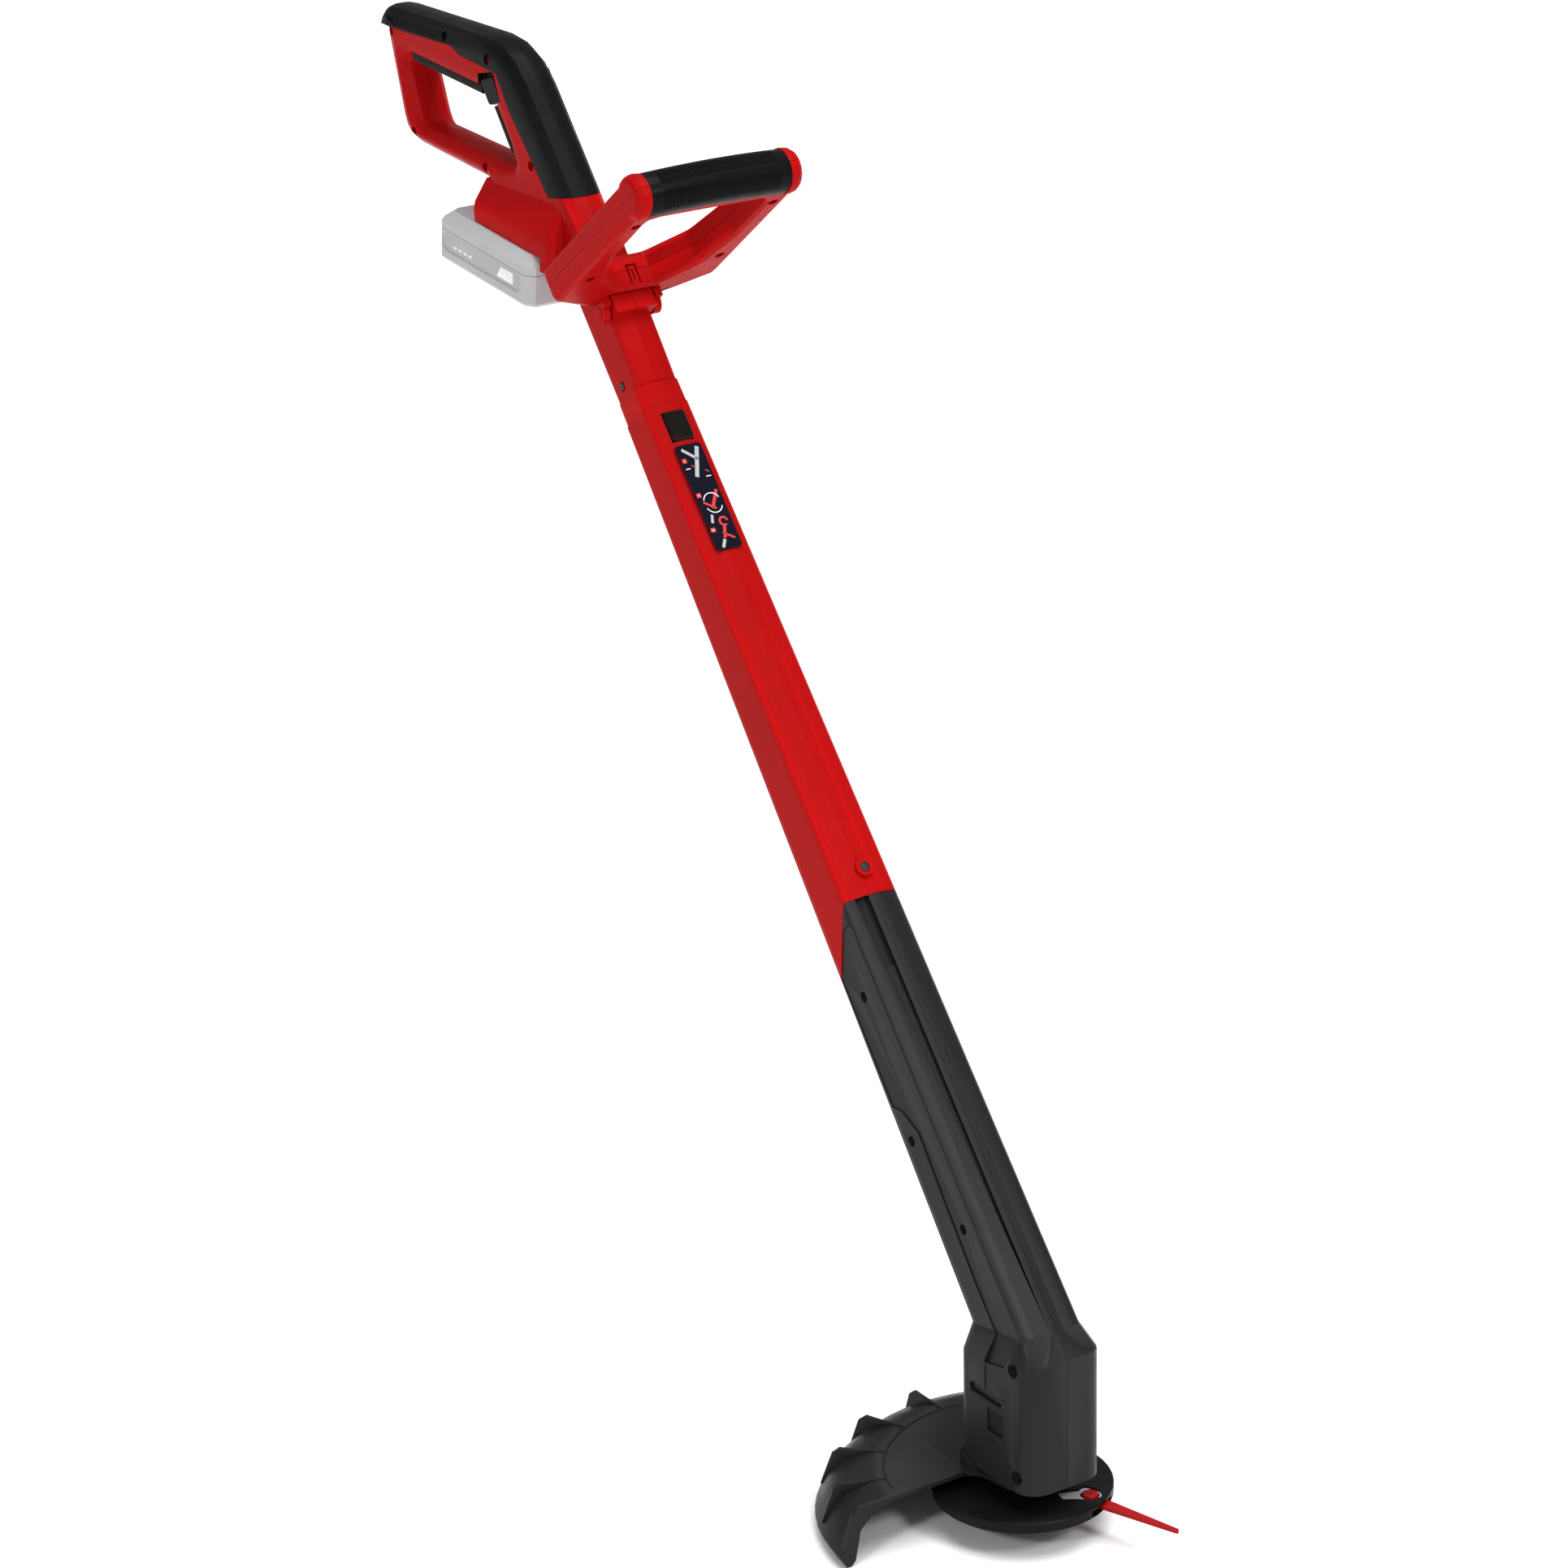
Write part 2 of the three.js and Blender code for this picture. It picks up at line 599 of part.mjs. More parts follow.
function motorCan() {
  return turned(
    [
      [MOTOR_RADIUS, MOTOR_LOW_Z + 6],
      [MOTOR_RADIUS, MOTOR_HIGH_Z],
      [BEARING_RADIUS + GAP, MOTOR_HIGH_Z],
      [BEARING_RADIUS + GAP, MOTOR_HIGH_Z - 1.5],
      [MOTOR_RADIUS - 1.5, MOTOR_HIGH_Z - 1.5],
      [MOTOR_RADIUS - 1.5, MOTOR_LOW_Z + 6],
      [MOTOR_RADIUS, MOTOR_LOW_Z + 6],
    ],
    24,
  );
}

function motorEndCap() {
  return turned(
    [
      [MOTOR_RADIUS, MOTOR_LOW_Z + 6 - GAP],
      [BEARING_RADIUS + GAP, MOTOR_LOW_Z + 6 - GAP],
      [BEARING_RADIUS + GAP, MOTOR_LOW_Z],
      [MOTOR_RADIUS, MOTOR_LOW_Z],
      [MOTOR_RADIUS, MOTOR_LOW_Z + 6 - GAP],
    ],
    24,
  );
}

const bearing = (zLow) =>
  turned(
    [
      [BEARING_RADIUS, zLow],
      [BEARING_RADIUS, zLow + 5],
      [MOTOR_SHAFT_RADIUS + 0.2, zLow + 5],
      [MOTOR_SHAFT_RADIUS + 0.2, zLow],
      [BEARING_RADIUS, zLow],
    ],
    20,
  );

const ROTOR_LOW_Z = 46;
const ROTOR_HIGH_Z = 80;
const motorShaft = () => rod([0, 0, 3], [0, 0, 93], MOTOR_SHAFT_RADIUS, 16);
const rotorCore = () =>
  turned(
    [
      [13, ROTOR_LOW_Z],
      [13, ROTOR_HIGH_Z],
      [MOTOR_SHAFT_RADIUS + 0.2, ROTOR_HIGH_Z],
      [MOTOR_SHAFT_RADIUS + 0.2, ROTOR_LOW_Z],
      [13, ROTOR_LOW_Z],
    ],
    20,
  );

// The lead from the motor up the shaft to the socket in the neck of the upper tube.
const LEAD_RADIUS = 2.2;
const SOCKET_LOW_S = 520;
const SOCKET_HIGH_S = 545;

function tubeAlong(points, radius, steps, sides = 8) {
  const path = new THREE.CatmullRomCurve3(points, false, "centripetal");
  const section = new THREE.Shape(
    Array.from({ length: sides }, (_, index) => {
      const angle = (index / sides) * 2 * Math.PI;
      return new THREE.Vector2(radius * Math.cos(angle), radius * Math.sin(angle));
    }),
  );
  return new THREE.ExtrudeGeometry(section, { steps, extrudePath: path, bevelEnabled: false });
}

const cablePoints = () => [
  new THREE.Vector3(-21.5, 0, 50),
  new THREE.Vector3(-21.5, 0, 70),
  new THREE.Vector3(-20.5, 0, 95),
  onShaft(-34, 0, 0),
  onShaft(-28, 0, 60),
  onShaft(-19, 0, 150),
  onShaft(-19, 0, 260),
  onShaft(-19, 0, 400),
  onShaft(-18, 0, SOCKET_LOW_S - GAP),
];
const motorCable = () => tubeAlong(cablePoints(), LEAD_RADIUS, 28);
const cableRoom = () => solid(tubeAlong(cablePoints(), LEAD_RADIUS + 1, 28));

function cableSocket() {
  const width = () => 26;
  const depth = () => 24;
  const body = solid(shaftLength(SOCKET_LOW_S, SOCKET_HIGH_S, 0, width, depth).translate(-6.5, 0, 0));
  return cut(body, solid(box(-23, -13, -6, 6, SOCKET_LOW_S + 6, SOCKET_HIGH_S + 5)));
}

// ---------------------------------------------------------------- cutting head
function cuttingDisc() {
  const dish = solid(
    turned(
      [
        [0, DISC_HEIGHT - DISC_WEB],
        [DISC_RADIUS - 3, DISC_HEIGHT - DISC_WEB],
        [DISC_RADIUS - 3, 0],
        [DISC_RADIUS - 0.8, 0],
        [DISC_RADIUS, 0.8],
        [DISC_RADIUS, DISC_HEIGHT - 0.8],
        [DISC_RADIUS - 0.8, DISC_HEIGHT],
        [11, DISC_HEIGHT],
        [10, 15],
        [0, 15],
      ],
      40,
    ),
  );
  const underHub = solid(rod([0, 0, 0], [0, 0, DISC_HEIGHT - 1], 13, 24));
  const floorPlate = solid(rod([0, 0, 0], [0, 0, 1.2], DISC_RADIUS - 2, 40));
  const nutPocket = solid(rod([0, 0, -1], [0, 0, 4], 6.3, 6));
  const bore = solid(rod([0, 0, 2], [0, 0, 20], MOTOR_SHAFT_RADIUS + GAP, 16));
  const window = polygonPrism(windowOutline(), -2, DISC_HEIGHT + 2);
  const slotTop = DISC_HEIGHT - DISC_WEB;
  const bladeSlot = turnedWedge(BLADE_POST, 30, 1.2, slotTop, bladeAngle() - 50, bladeAngle() + 50);
  const post = solid(
    rod([BLADE_POST.x, BLADE_POST.y, 0], [BLADE_POST.x, BLADE_POST.y, 7], BLADE_POST_RADIUS, 16),
  );
  const bridgeBar = box(-2.5, 2.5, -14, 14, 0, 1.2).rotateZ(Math.atan2(BLADE_POST.y, BLADE_POST.x));
  const bridge = solid(bridgeBar.translate(BLADE_POST.x, BLADE_POST.y, 0));
  const plates = join(dish, underHub, floorPlate);
  return join(cut(plates, nutPocket, bore, window, bladeSlot), post, bridge);
}

const bladeAngle = () =>
  THREE.MathUtils.radToDeg(Math.atan2(BLADE_TIP.y - BLADE_POST.y, BLADE_TIP.x - BLADE_POST.x));

function polygonPrism(shape, zLow, zHigh) {
  const geometry = new THREE.ExtrudeGeometry(
    shape,
    { depth: zHigh - zLow, bevelEnabled: false, curveSegments: 4 },
  );
  return solid(geometry.translate(0, 0, zLow));
}

// A sector of a flat ring round a point, for the blade's sweep.
function turnedWedge(centre, radius, zLow, zHigh, startDeg, endDeg) {
  const steps = 8;
  const arc = Array.from({ length: steps + 1 }, (_, step) => {
    const angle = THREE.MathUtils.degToRad(THREE.MathUtils.lerp(startDeg, endDeg, step / steps));
    return [centre.x + radius * Math.cos(angle), centre.y + radius * Math.sin(angle)];
  });
  return polygonPrism(polygon([[centre.x, centre.y], ...arc]), zLow, zHigh);
}

// The keyhole window over the blade post: a round eye with a slot that leads in from the hub side.
function windowOutline() {
  const shape = roundedPolygon([
    [26.6, 7.5, 2],
    [37.8, 5.3, 2],
    [44, 14.6, 3],
    [49.8, 20.5, 5],
    [50.2, 29.5, 6],
    [42.4, 32.8, 6],
    [30.5, 28, 4],
    [33, 22, 3],
  ]);
  return shape;
}

function discNut() {
  return solid(rod([0, 0, 0], [0, 0, 2.7], 5.8, 6));
}

const BLADE_LOW_Z = 2;
const BLADE_HIGH_Z = 4.4;
const BLADE_EYE_RADIUS = 6;

function blade() {
  const along = BLADE_TIP.clone().sub(BLADE_POST).normalize();
  const across = new THREE.Vector2(-along.y, along.x);
  const at = (forward, side) =>
    BLADE_POST.clone().addScaledVector(along, forward).addScaledVector(across, side);
  const length = BLADE_TIP.distanceTo(BLADE_POST);
  const outline = [
    at(3, 5),
    at(18, 4.5),
    at(length - 1, 1.4),
    at(length, 0),
    at(length - 1, -1.4),
    at(18, -4.5),
    at(3, -5),
  ];
  const arm = polygonPrism(new THREE.Shape(outline), BLADE_LOW_Z, BLADE_HIGH_Z);
  const eye = solid(
    rod(
      [BLADE_POST.x, BLADE_POST.y, BLADE_LOW_Z],
      [BLADE_POST.x, BLADE_POST.y, 5.2],
      BLADE_EYE_RADIUS,
      20,
    ),
  );
  const bore = solid(
    rod([BLADE_POST.x, BLADE_POST.y, 0], [BLADE_POST.x, BLADE_POST.y, 9], BLADE_POST_RADIUS + GAP, 16),
  );
  return cut(join(arm, eye), bore);
}

// ---------------------------------------------------------------- guard
const GUARD_SKIRT_RADIUS = 139.5;
const GUARD_SKIRT_Z = -20;
const GUARD_FRONT_X = -12.5;

function guard() {
  const plateThickness = 3.2;
  const skirtRing = solid(
    turned(
      [
        [60, GUARD_TOP_Z - plateThickness],
        [98, GUARD_TOP_Z - plateThickness],
        [113, 13.5],
        [123.5, 4.6],
        [128, GUARD_SKIRT_Z + 3],
        [131, GUARD_SKIRT_Z],
        [135, GUARD_SKIRT_Z],
        [GUARD_SKIRT_RADIUS, -12],
        [131, 4],
        [121, 13],
        [101, GUARD_TOP_Z],
        [60, GUARD_TOP_Z],
        [60, GUARD_TOP_Z - plateThickness],
      ],
      60,
    ),
  );
  const ribRing = solid(
    turned(
      [
        [97, GUARD_TOP_Z - 1],
        [114, 15],
        [126, 5],
        [134, -10],
        [138, -6],
        [130, 17],
        [125, GUARD_TOP_Z + 0.5],
        [97, GUARD_TOP_Z],
        [97, GUARD_TOP_Z - 1],
      ],
      60,
    ),
  );
  const ribs = GUARD_RIB_DEG.map((degrees) =>
    radialBar(degrees, 97, 145, 1.3)).reduce((sum, next) => sum.add(next));
  const frontRib = solid(box(GUARD_FRONT_X - 3, GUARD_FRONT_X, -150, -88, -40, 40));
  const hub = polygonPrism(guardHubOutline(), GUARD_TOP_Z - plateThickness, GUARD_TOP_Z);
  const keep = keepWedge();
  const ring = join(skirtRing, ribRing.intersect(join(ribs, frontRib))).intersect(keep);
  const collar = guardCollar();
  const spindle = solid(rod([0, 0, 0], [0, 0, 40], 15, 24));
  return cut(join(ring, hub, collar), spindle, guardScrewBore());
}

function radialBar(degrees, inner, outer, halfThickness) {
  const bar = box(inner, outer, -halfThickness, halfThickness, -40, 40);
  return solid(bar.rotateZ(THREE.MathUtils.degToRad(degrees)));
}

// The sector of the ring that the guard covers, from its straight front edge round the back.
function keepWedge() {
  const end = THREE.MathUtils.degToRad(GUARD_START_DEG);
  const reach = 300;
  const outline = [
    [GUARD_FRONT_X, -reach],
    [GUARD_FRONT_X, 0],
    [0, 0],
    [reach * Math.cos(end), reach * Math.sin(end)],
    [-reach, reach * Math.sin(end)],
    [-reach, -reach],
  ];
  return polygonPrism(polygon(outline), -60, 60);
}

// The flat web that joins the ring to the foot of the motor housing.
function guardHubOutline() {
  const end = THREE.MathUtils.degToRad(GUARD_START_DEG);
  const arc = 80;
  return polygon([
    [GUARD_FRONT_X, -arc],
    [GUARD_FRONT_X, -38],
    [-4, -30],
    [22, -26],
    [22, 26],
    [-20, 32],
    [arc * Math.cos(end), arc * Math.sin(end)],
    [-76, 25],
    [-78, -18],
    [-62, -50],
    [-40, -69],
  ]);
}

// A low rim round the back of the motor housing's foot, with a lug for the screw.
function guardCollar() {
  const zHigh = 32;
  const outer = solid(
    new ConvexGeometry([...headRing(-3, () => GUARD_TOP_Z - 1), ...headRing(-3, () => zHigh)]),
  );
  const footRoom = solid(
    new ConvexGeometry([
      ...headRing(-GAP, () => HEAD_BOTTOM_Z - GAP),
      ...headRing(-GAP, () => zHigh + 2),
    ]),
  );
  const slope = sideSolid(polygon([[-60, 10], [6, 10], [-14, 26], [-24, 32.5], [-60, 32.5]]), 60);
  return cut(outer.intersect(slope), footRoom);
}

const GUARD_SCREW = { y: -12, z: 28, headX: -32.4 };
const guardScrewBore = () =>
  join(
    solid(
      rod(
        [GUARD_SCREW.headX + 12, GUARD_SCREW.y, GUARD_SCREW.z],
        [-60, GUARD_SCREW.y, GUARD_SCREW.z],
        2,
        8,
      ),
    ),
    solid(
      rod(
        [GUARD_SCREW.headX + 0.1, GUARD_SCREW.y, GUARD_SCREW.z],
        [-60, GUARD_SCREW.y, GUARD_SCREW.z],
        3.8,
        12,
      ),
    ),
  );

// ---------------------------------------------------------------- rear handle
const upperFront = (s) => THREE.MathUtils.mapLinear(s, COLLAR_TOP_S, UPPER_TOP_S, 0, 6.3);
const upperWidth = (s) => THREE.MathUtils.mapLinear(s, COLLAR_TOP_S, UPPER_TOP_S, UPPER_WIDTH, 34);
const upperDepth = (s) => THREE.MathUtils.mapLinear(s, COLLAR_TOP_S, UPPER_TOP_S, UPPER_DEPTH, 40);

const HANDLE_SCREWS = [
  { x: -739.9, z: 867.0 },
  { x: -663.7, z: 875.5 },
  { x: -603.6, z: 869.0 },
  { x: -714.5, z: 797.5 },
  { x: -614.5, z: 789.5 },
  { x: -548.5, z: 803.4 },
];
const HANDLE_SCREW_SEAT = 11;
const HANDLE_SCREW_REACH = 22;
const COLLAR_SCREW = { s: 654.6, a: -21.2, seat: 14.9, reach: 30 };

const HANDLE_OUTLINE = [
  [-478, 746, 0],
  [-484, 767, 0],
  [-579.5, 884.5, 70],
  [-757, 884.5, 16],
  [-728.5, 789.5, 25],
  [-612.5, 780, 5],
  [-611, 752, 0],
];

const LOOP_OPENING = [
  [-724, 850.5, 7],
  [-604.5, 841.5, 4],
  [-571, 797, 8],
  [-706, 804, 12],
];

function loopSolid(inset) {
  const steps = inset > 0 ? 1 : 3;
  const slab = cushion(
    HANDLE_OUTLINE,
    LOOP_OPENING,
    BAR_HALF_WIDTH,
    BAR_ROUND - inset / 2,
    inset,
    steps,
  );
  return solid(geometryOf(slab).rotateX(Math.PI / 2));
}

// The foot over the battery flares out in facets from the neck.
function footSolid(inset) {
  const rings = [
    { z: [783, 783], x: [-612, -512], y: 16 },
    { z: [768, 764], x: [-611, -506], y: 27 },
    { z: [762, 752], x: [-609, -503], y: 29.5 },
    { z: [745, 735], x: [-606, -505], y: 29.5 },
  ];
  const points = rings.flatMap(({ z, x, y }) =>
    [-1, 1].flatMap((side) => [
      new THREE.Vector3(x[0] + inset, side * (y - inset), z[0] - (z[0] > 770 ? inset : 0)),
      new THREE.Vector3(x[1] - inset, side * (y - 3 - inset), z[1] - (z[1] > 770 ? inset : 0)),
      new THREE.Vector3(x[1] - 8 - inset, side * (y - inset), z[1] - (z[1] > 770 ? inset : 0)),
    ]),
  );
  return solid(new ConvexGeometry(points));
}

const upperTube = (sLow, inset = 0) =>
  solid(fromShaft(shaftLength(sLow, UPPER_TOP_S, inset, upperWidth, upperDepth, upperFront)));

// The band of the handle's side view that the soft grip covers, grown by a margin.
function gripRegion(margin = 0) {
  const end = onShaft(20, 0, 779 - margin);
  const endBack = onShaft(-15 - margin, 0, 801 - margin);
  return sideSolid(
    polygon([
      [-790, 869 - margin],
      [-654, 871 - margin],
      [-643, 866.5 - margin],
      [-592 - margin, 861.5 - margin],
      [-575 - margin, 837],
      [endBack.x, endBack.z],
      [end.x, end.z],
      [end.x + 40, end.z + 150],
      [-790, 930],
    ]),
    60,
  );
}

// The strip that lines the top and front of the loop's opening, and the room for it.
const LINING_OUTLINE = [
  [-714.5, 849.8, 2.1],
  [-714.5, 856, 2.1],
  [-603.5, 847.6, 5],
  [-574.2, 808.7, 2.1],
  [-577.8, 806, 2.1],
  [-604.5, 841.5, 3.5],
];
const LINING_HALF_WIDTH = 14.5;

function liningRegion(margin = 0) {
  return sideSolid(
    polygon([
      [-714.5 - margin, 840],
      [-714.5 - margin, 856 + margin],
      [-603.3 + margin, 847.6 + margin],
      [-574.2 + margin, 808.7],
      [-577.8 + margin, 806 - margin],
      [-600, 806],
      [-612, 838],
    ]),
    60,
  );
}

const TRIGGER = { side: 6, paddleSide: 13.5, pinX: -586.5, pinZ: 853, pinRadius: 1.6 };
const LOCKOFF = { low: 877, high: 896, back: -15.5, front: -5.5, inner: 13.5, outer: 19.4 };
const RAIL = { neck: 18, wing: 22, wingLow: 3.4, top: 7.4, rear: -28 };

const lockoffWindow = (gap) => {
  const { low, high, back, front, inner } = LOCKOFF;
  return solid(fromShaft(box(back - gap, front + gap, inner - 2, 30, low - gap, high + gap)));
};

// Room for the trigger's narrow web inside the handle, and for its wide paddle through the side walls.
const triggerSlot = () =>
  sideSolid(
    polygon([
      [-632, 864],
      [-632, 834],
      [-606, 830],
      [-600, 835],
      [-587, 840.9],
      [-581, 846.5],
      [-580.6, 858],
      [-586, 864],
    ]),
    TRIGGER.side + 0.6,
  );

const triggerNotch = () =>
  sideSolid(
    polygon([
      [-617, 850],
      [-617, 857.4],
      [-596.8, 861.6],
      [-594.6, 860.4],
      [-586.9, 842],
      [-588, 840.9],
      [-601, 835.5],
      [-606, 831],
      [-614, 838],
    ]),
    60,
  );

function batteryRoom() {
  const body = box(-BATTERY_LENGTH / 2 - 6, BATTERY_LENGTH / 2 + 1, -40, 40, -BATTERY_HEIGHT - 2, GAP);
  const neck = box(-90, 47, -RAIL.neck - GAP, RAIL.neck + GAP, -2, RAIL.wingLow);
  const wings = box(-90, 47, -RAIL.wing - GAP, RAIL.wing + GAP, RAIL.wingLow - GAP, RAIL.top + GAP);
  const room = join(solid(body), solid(neck), solid(wings));
  return solid(geometryOf(room).applyMatrix4(battery.matrix));
}

function handleShell() {
  const outer = join(loopSolid(0), footSolid(0), upperTube(COLLAR_TOP_S + GAP));
  const hollow = join(loopSolid(SHELL_HOLLOW), footSolid(2.6), upperTube(COLLAR_TOP_S - 2, UPPER_WALL));
  const core = loopSolid(SHELL_INSET);
  const soft = join(gripRegion(GAP), liningRegion(GAP));
  const skin = join(cut(outer, soft), core);
  const screwBosses = HANDLE_SCREWS.map(({ x, z }) =>
    boss(x, z, 40)).reduce((sum, next) => sum.add(next));
  const bosses = join(screwBosses, boss(TRIGGER.pinX, TRIGGER.pinZ, 40, 4));
  const bracket = solid(fromShaft(box(-4, 10, -16.4, 16.4, 697, 722)));
  const pivots = solid(fromShaft(
    rod([HINGE_A, -HINGE_EYE_OUT - 0.4, HINGE_S], [HINGE_A, HINGE_EYE_OUT + 0.4, HINGE_S], HINGE_RADIUS, 20),
  ));
  const shell = join(
    cut(join(skin, bracket, pivots), hollow),
    bosses.intersect(skin),
  );
  return cut(
    shell,
    batteryRoom(),
    triggerSlot(),
    triggerNotch(),
    lockoffWindow(GAP),
    handleCableRoom(),
    pinBore(),
    ...handleBores(),
  );
}

const pinBore = () =>
  solid(
    rod(
      [TRIGGER.pinX, -11.5, TRIGGER.pinZ],
      [TRIGGER.pinX, 11.5, TRIGGER.pinZ],
      TRIGGER.pinRadius + 0.2,
      14,
    ),
  );

function handleBores() {
  const collarHead = onShaft(COLLAR_SCREW.a, 0, COLLAR_SCREW.s);
  return [
    ...HANDLE_SCREWS.map(({ x, z }) =>
      screwBore([x, -HANDLE_SCREW_SEAT, z], [0, 1, 0], HANDLE_SCREW_REACH)),
    screwBore([collarHead.x, -COLLAR_SCREW.seat, collarHead.z], [0, 1, 0], COLLAR_SCREW.reach, 3),
  ];
}

// The soft grip's heel stands out behind the rear column.
const HEEL_OUTLINE = [
  [-478, 746, 0],
  [-484, 767, 0],
  [-579.5, 884.5, 70],
  [-758, 884.5, 17],
  [-765, 866, 1],
  [-700, 840, 1],
];

function softGrip() {
  const levels = cushionLevels(BAR_HALF_WIDTH, BAR_ROUND, 0, 3);
  const heelBar = solid(loft(HEEL_OUTLINE, levels).rotateX(Math.PI / 2));
  const heel = heelBar.intersect(solid(box(-790, -735, -30, 30, 869.8, 900)));
  const sleeve = cut(join(loopSolid(0).intersect(gripRegion()), heel), loopSolid(GRIP_THICKNESS));
  return cut(sleeve, lockoffWindow(GAP), triggerSlot(), ...handleBores());
}

function loopLining() {
  const strip = sideSolid(roundedPolygon(LINING_OUTLINE), LINING_HALF_WIDTH, { round: 0.9, segments: 2 });
  return cut(strip, loopSolid(GRIP_THICKNESS), gripRegion(GAP), triggerSlot(), triggerNotch());
}

function trigger() {
  const web = sideSolid(
    roundedPolygon([
      [-582.2, 857, 3],
      [-598, 859, 2],
      [-628.5, 855, 2],
      [-626, 849.5, 2],
      [-612, 845, 3],
      [-600, 842, 3],
      [-590, 847, 3],
      [-582.2, 848.7, 3],
    ]),
    TRIGGER.side,
    { round: 1, segments: 1 },
  );
  const paddle = sideSolid(
    roundedPolygon([
      [-616, 852.5, 2.5],
      [-597, 858.8, 3],
      [-588, 842, 4],
      [-605, 835.5, 4],
    ]),
    TRIGGER.paddleSide,
    { round: 1.5, segments: 2 },
  );
  const { pinX, pinZ, pinRadius } = TRIGGER;
  return cut(join(web, paddle), solid(rod([pinX, -20, pinZ], [pinX, 20, pinZ], pinRadius + 0.2, 14)));
}

function lockoffButton() {
  const { low, high, back, front, inner, outer } = LOCKOFF;
  const shape = roundedPolygon([
    [back, low, 3],
    [front, low, 3],
    [front, high, 3],
    [back, high, 3],
  ]);
  const geometry = new THREE.ExtrudeGeometry(shape, {
    depth: outer - inner - 2,
    bevelThickness: 1,
    bevelSize: 1,
    bevelOffset: -1,
    bevelSegments: 2,
    curveSegments: 3,
  });
  geometry.rotateX(Math.PI / 2);
  geometry.computeBoundingBox();
  return geometry.translate(0, outer - geometry.boundingBox.max.y, 0);
}

const switchModule = () => box(-656, -632, -8, 8, 856.5, 870);
const triggerPin = () =>
  rod([TRIGGER.pinX, -11, TRIGGER.pinZ], [TRIGGER.pinX, 11, TRIGGER.pinZ], TRIGGER.pinRadius, 12);

const handleCablePoints = () => [
  onShaft(-15, 0, SPIGOT_BOTTOM_S + 16 + GAP),
  onShaft(-13, 0, 620),
  onShaft(-13, 0, 740),
  onShaft(-9, 4, 800),
  onShaft(-8.5, 8, 830),
  onShaft(-10, 9.2, 860),
  new THREE.Vector3(-588, 9.2, 863),
  new THREE.Vector3(-612, 9.2, 864),
  new THREE.Vector3(-631.5, 5, 864),
];
const handleCable = () => tubeAlong(handleCablePoints(), LEAD_RADIUS, 26);
const handleCableRoom = () => solid(tubeAlong(handleCablePoints(), LEAD_RADIUS + 0.6, 26));

function cablePlug() {
  const body = solid(box(-24, -11, -8, 8, SPIGOT_BOTTOM_S + 1, SPIGOT_BOTTOM_S + 16));
  const nose = solid(box(-22, -14, -5, 5, SOCKET_LOW_S + 14, SPIGOT_BOTTOM_S + 2));
  return join(body, nose);
}

const spigot = () => {
  const collarHead = onShaft(COLLAR_SCREW.a, 0, COLLAR_SCREW.s);
  const across = rod(
    [collarHead.x, -20, collarHead.z],
    [collarHead.x, 20, collarHead.z],
    SCREW_SHANK_RADIUS + GAP,
    10,
  );
  const inverse = shaft.matrix.clone().invert();
  return cut(
    spigotEnvelope(SPIGOT_BOTTOM_S, SPIGOT_TOP_S),
    spigotEnvelope(SPIGOT_BOTTOM_S - 1, SPIGOT_TOP_S + 1, 0, SPIGOT_WALL),
    solid(across.applyMatrix4(inverse)),
  );
};

function terminalBlock() {
  const body = solid(box(41, 46.6, -18, 18, 0.6, 8.4));
  const blades = [-10, 0, 10].map((y) => solid(box(33, 42, y - 0.5, y + 0.5, 1.6, 6)));
  return join(body, ...blades);
}

// ---------------------------------------------------------------- battery, in its own frame
const BATTERY_SPLIT_Z = -13;

function chamferedBox(xLow, xHigh, side, zLow, zHigh, chamfer, plan = 6) {
  const ring = (z, inset) =>
    [
      [xLow + inset + plan, side - inset],
      [xHigh - inset - plan, side - inset],
      [xHigh - inset, side - inset - plan],
      [xHigh - inset, -side + inset + plan],
      [xHigh - inset - plan, -side + inset],
      [xLow + inset + plan, -side + inset],
      [xLow + inset, -side + inset + plan],
      [xLow + inset, side - inset - plan],
    ].map(([x, y]) => new THREE.Vector3(x, y, z));
  const [low, high] = chamfer;
  return solid(
    new ConvexGeometry([
      ...ring(zLow, low),
      ...ring(zLow + low, 0),
      ...ring(zHigh - high, 0),
      ...ring(zHigh, high),
    ]),
  );
}

function batteryShells() {
  const side = BATTERY_WIDTH / 2;
  const end = BATTERY_LENGTH / 2;
  const outer = chamferedBox(-end, end, side, -BATTERY_HEIGHT, 0, [3, 7]);
  const inner = chamferedBox(-end + 2.2, end - 2.2, side - 2.2, -BATTERY_HEIGHT + 2.2, -2.2, [3, 7]);
  const neck = solid(box(RAIL.rear, 40, -RAIL.neck, RAIL.neck, -1, RAIL.wingLow + 0.1));
  const wings = solid(box(RAIL.rear, 40, -RAIL.wing, RAIL.wing, RAIL.wingLow, RAIL.top));
  const rail = join(neck, wings);
  const railInner = solid(box(RAIL.rear + 2, 38, -RAIL.neck + 2, RAIL.neck - 2, -3, RAIL.top - 2));
  const slots = [-10, 0, 10].map((y) => solid(box(31, 45, y - 1.2, y + 1.2, 1, 6.6)));
  const buttonRoom = solid(
    box(
      -end - 5,
      -end + 11,
      -RELEASE.side - GAP,
      RELEASE.side + GAP,
      RELEASE.low - GAP,
      RELEASE.high + GAP,
    ),
  );
  const shell = cut(join(outer, rail), join(inner, railInner), ...slots, buttonRoom);
  const above = solid(box(-200, 200, -200, 200, BATTERY_SPLIT_Z + GAP / 2, 100));
  const below = solid(box(-200, 200, -200, 200, -200, BATTERY_SPLIT_Z - GAP / 2));
  return { lid: shell.intersect(above), base: shell.intersect(below) };
}

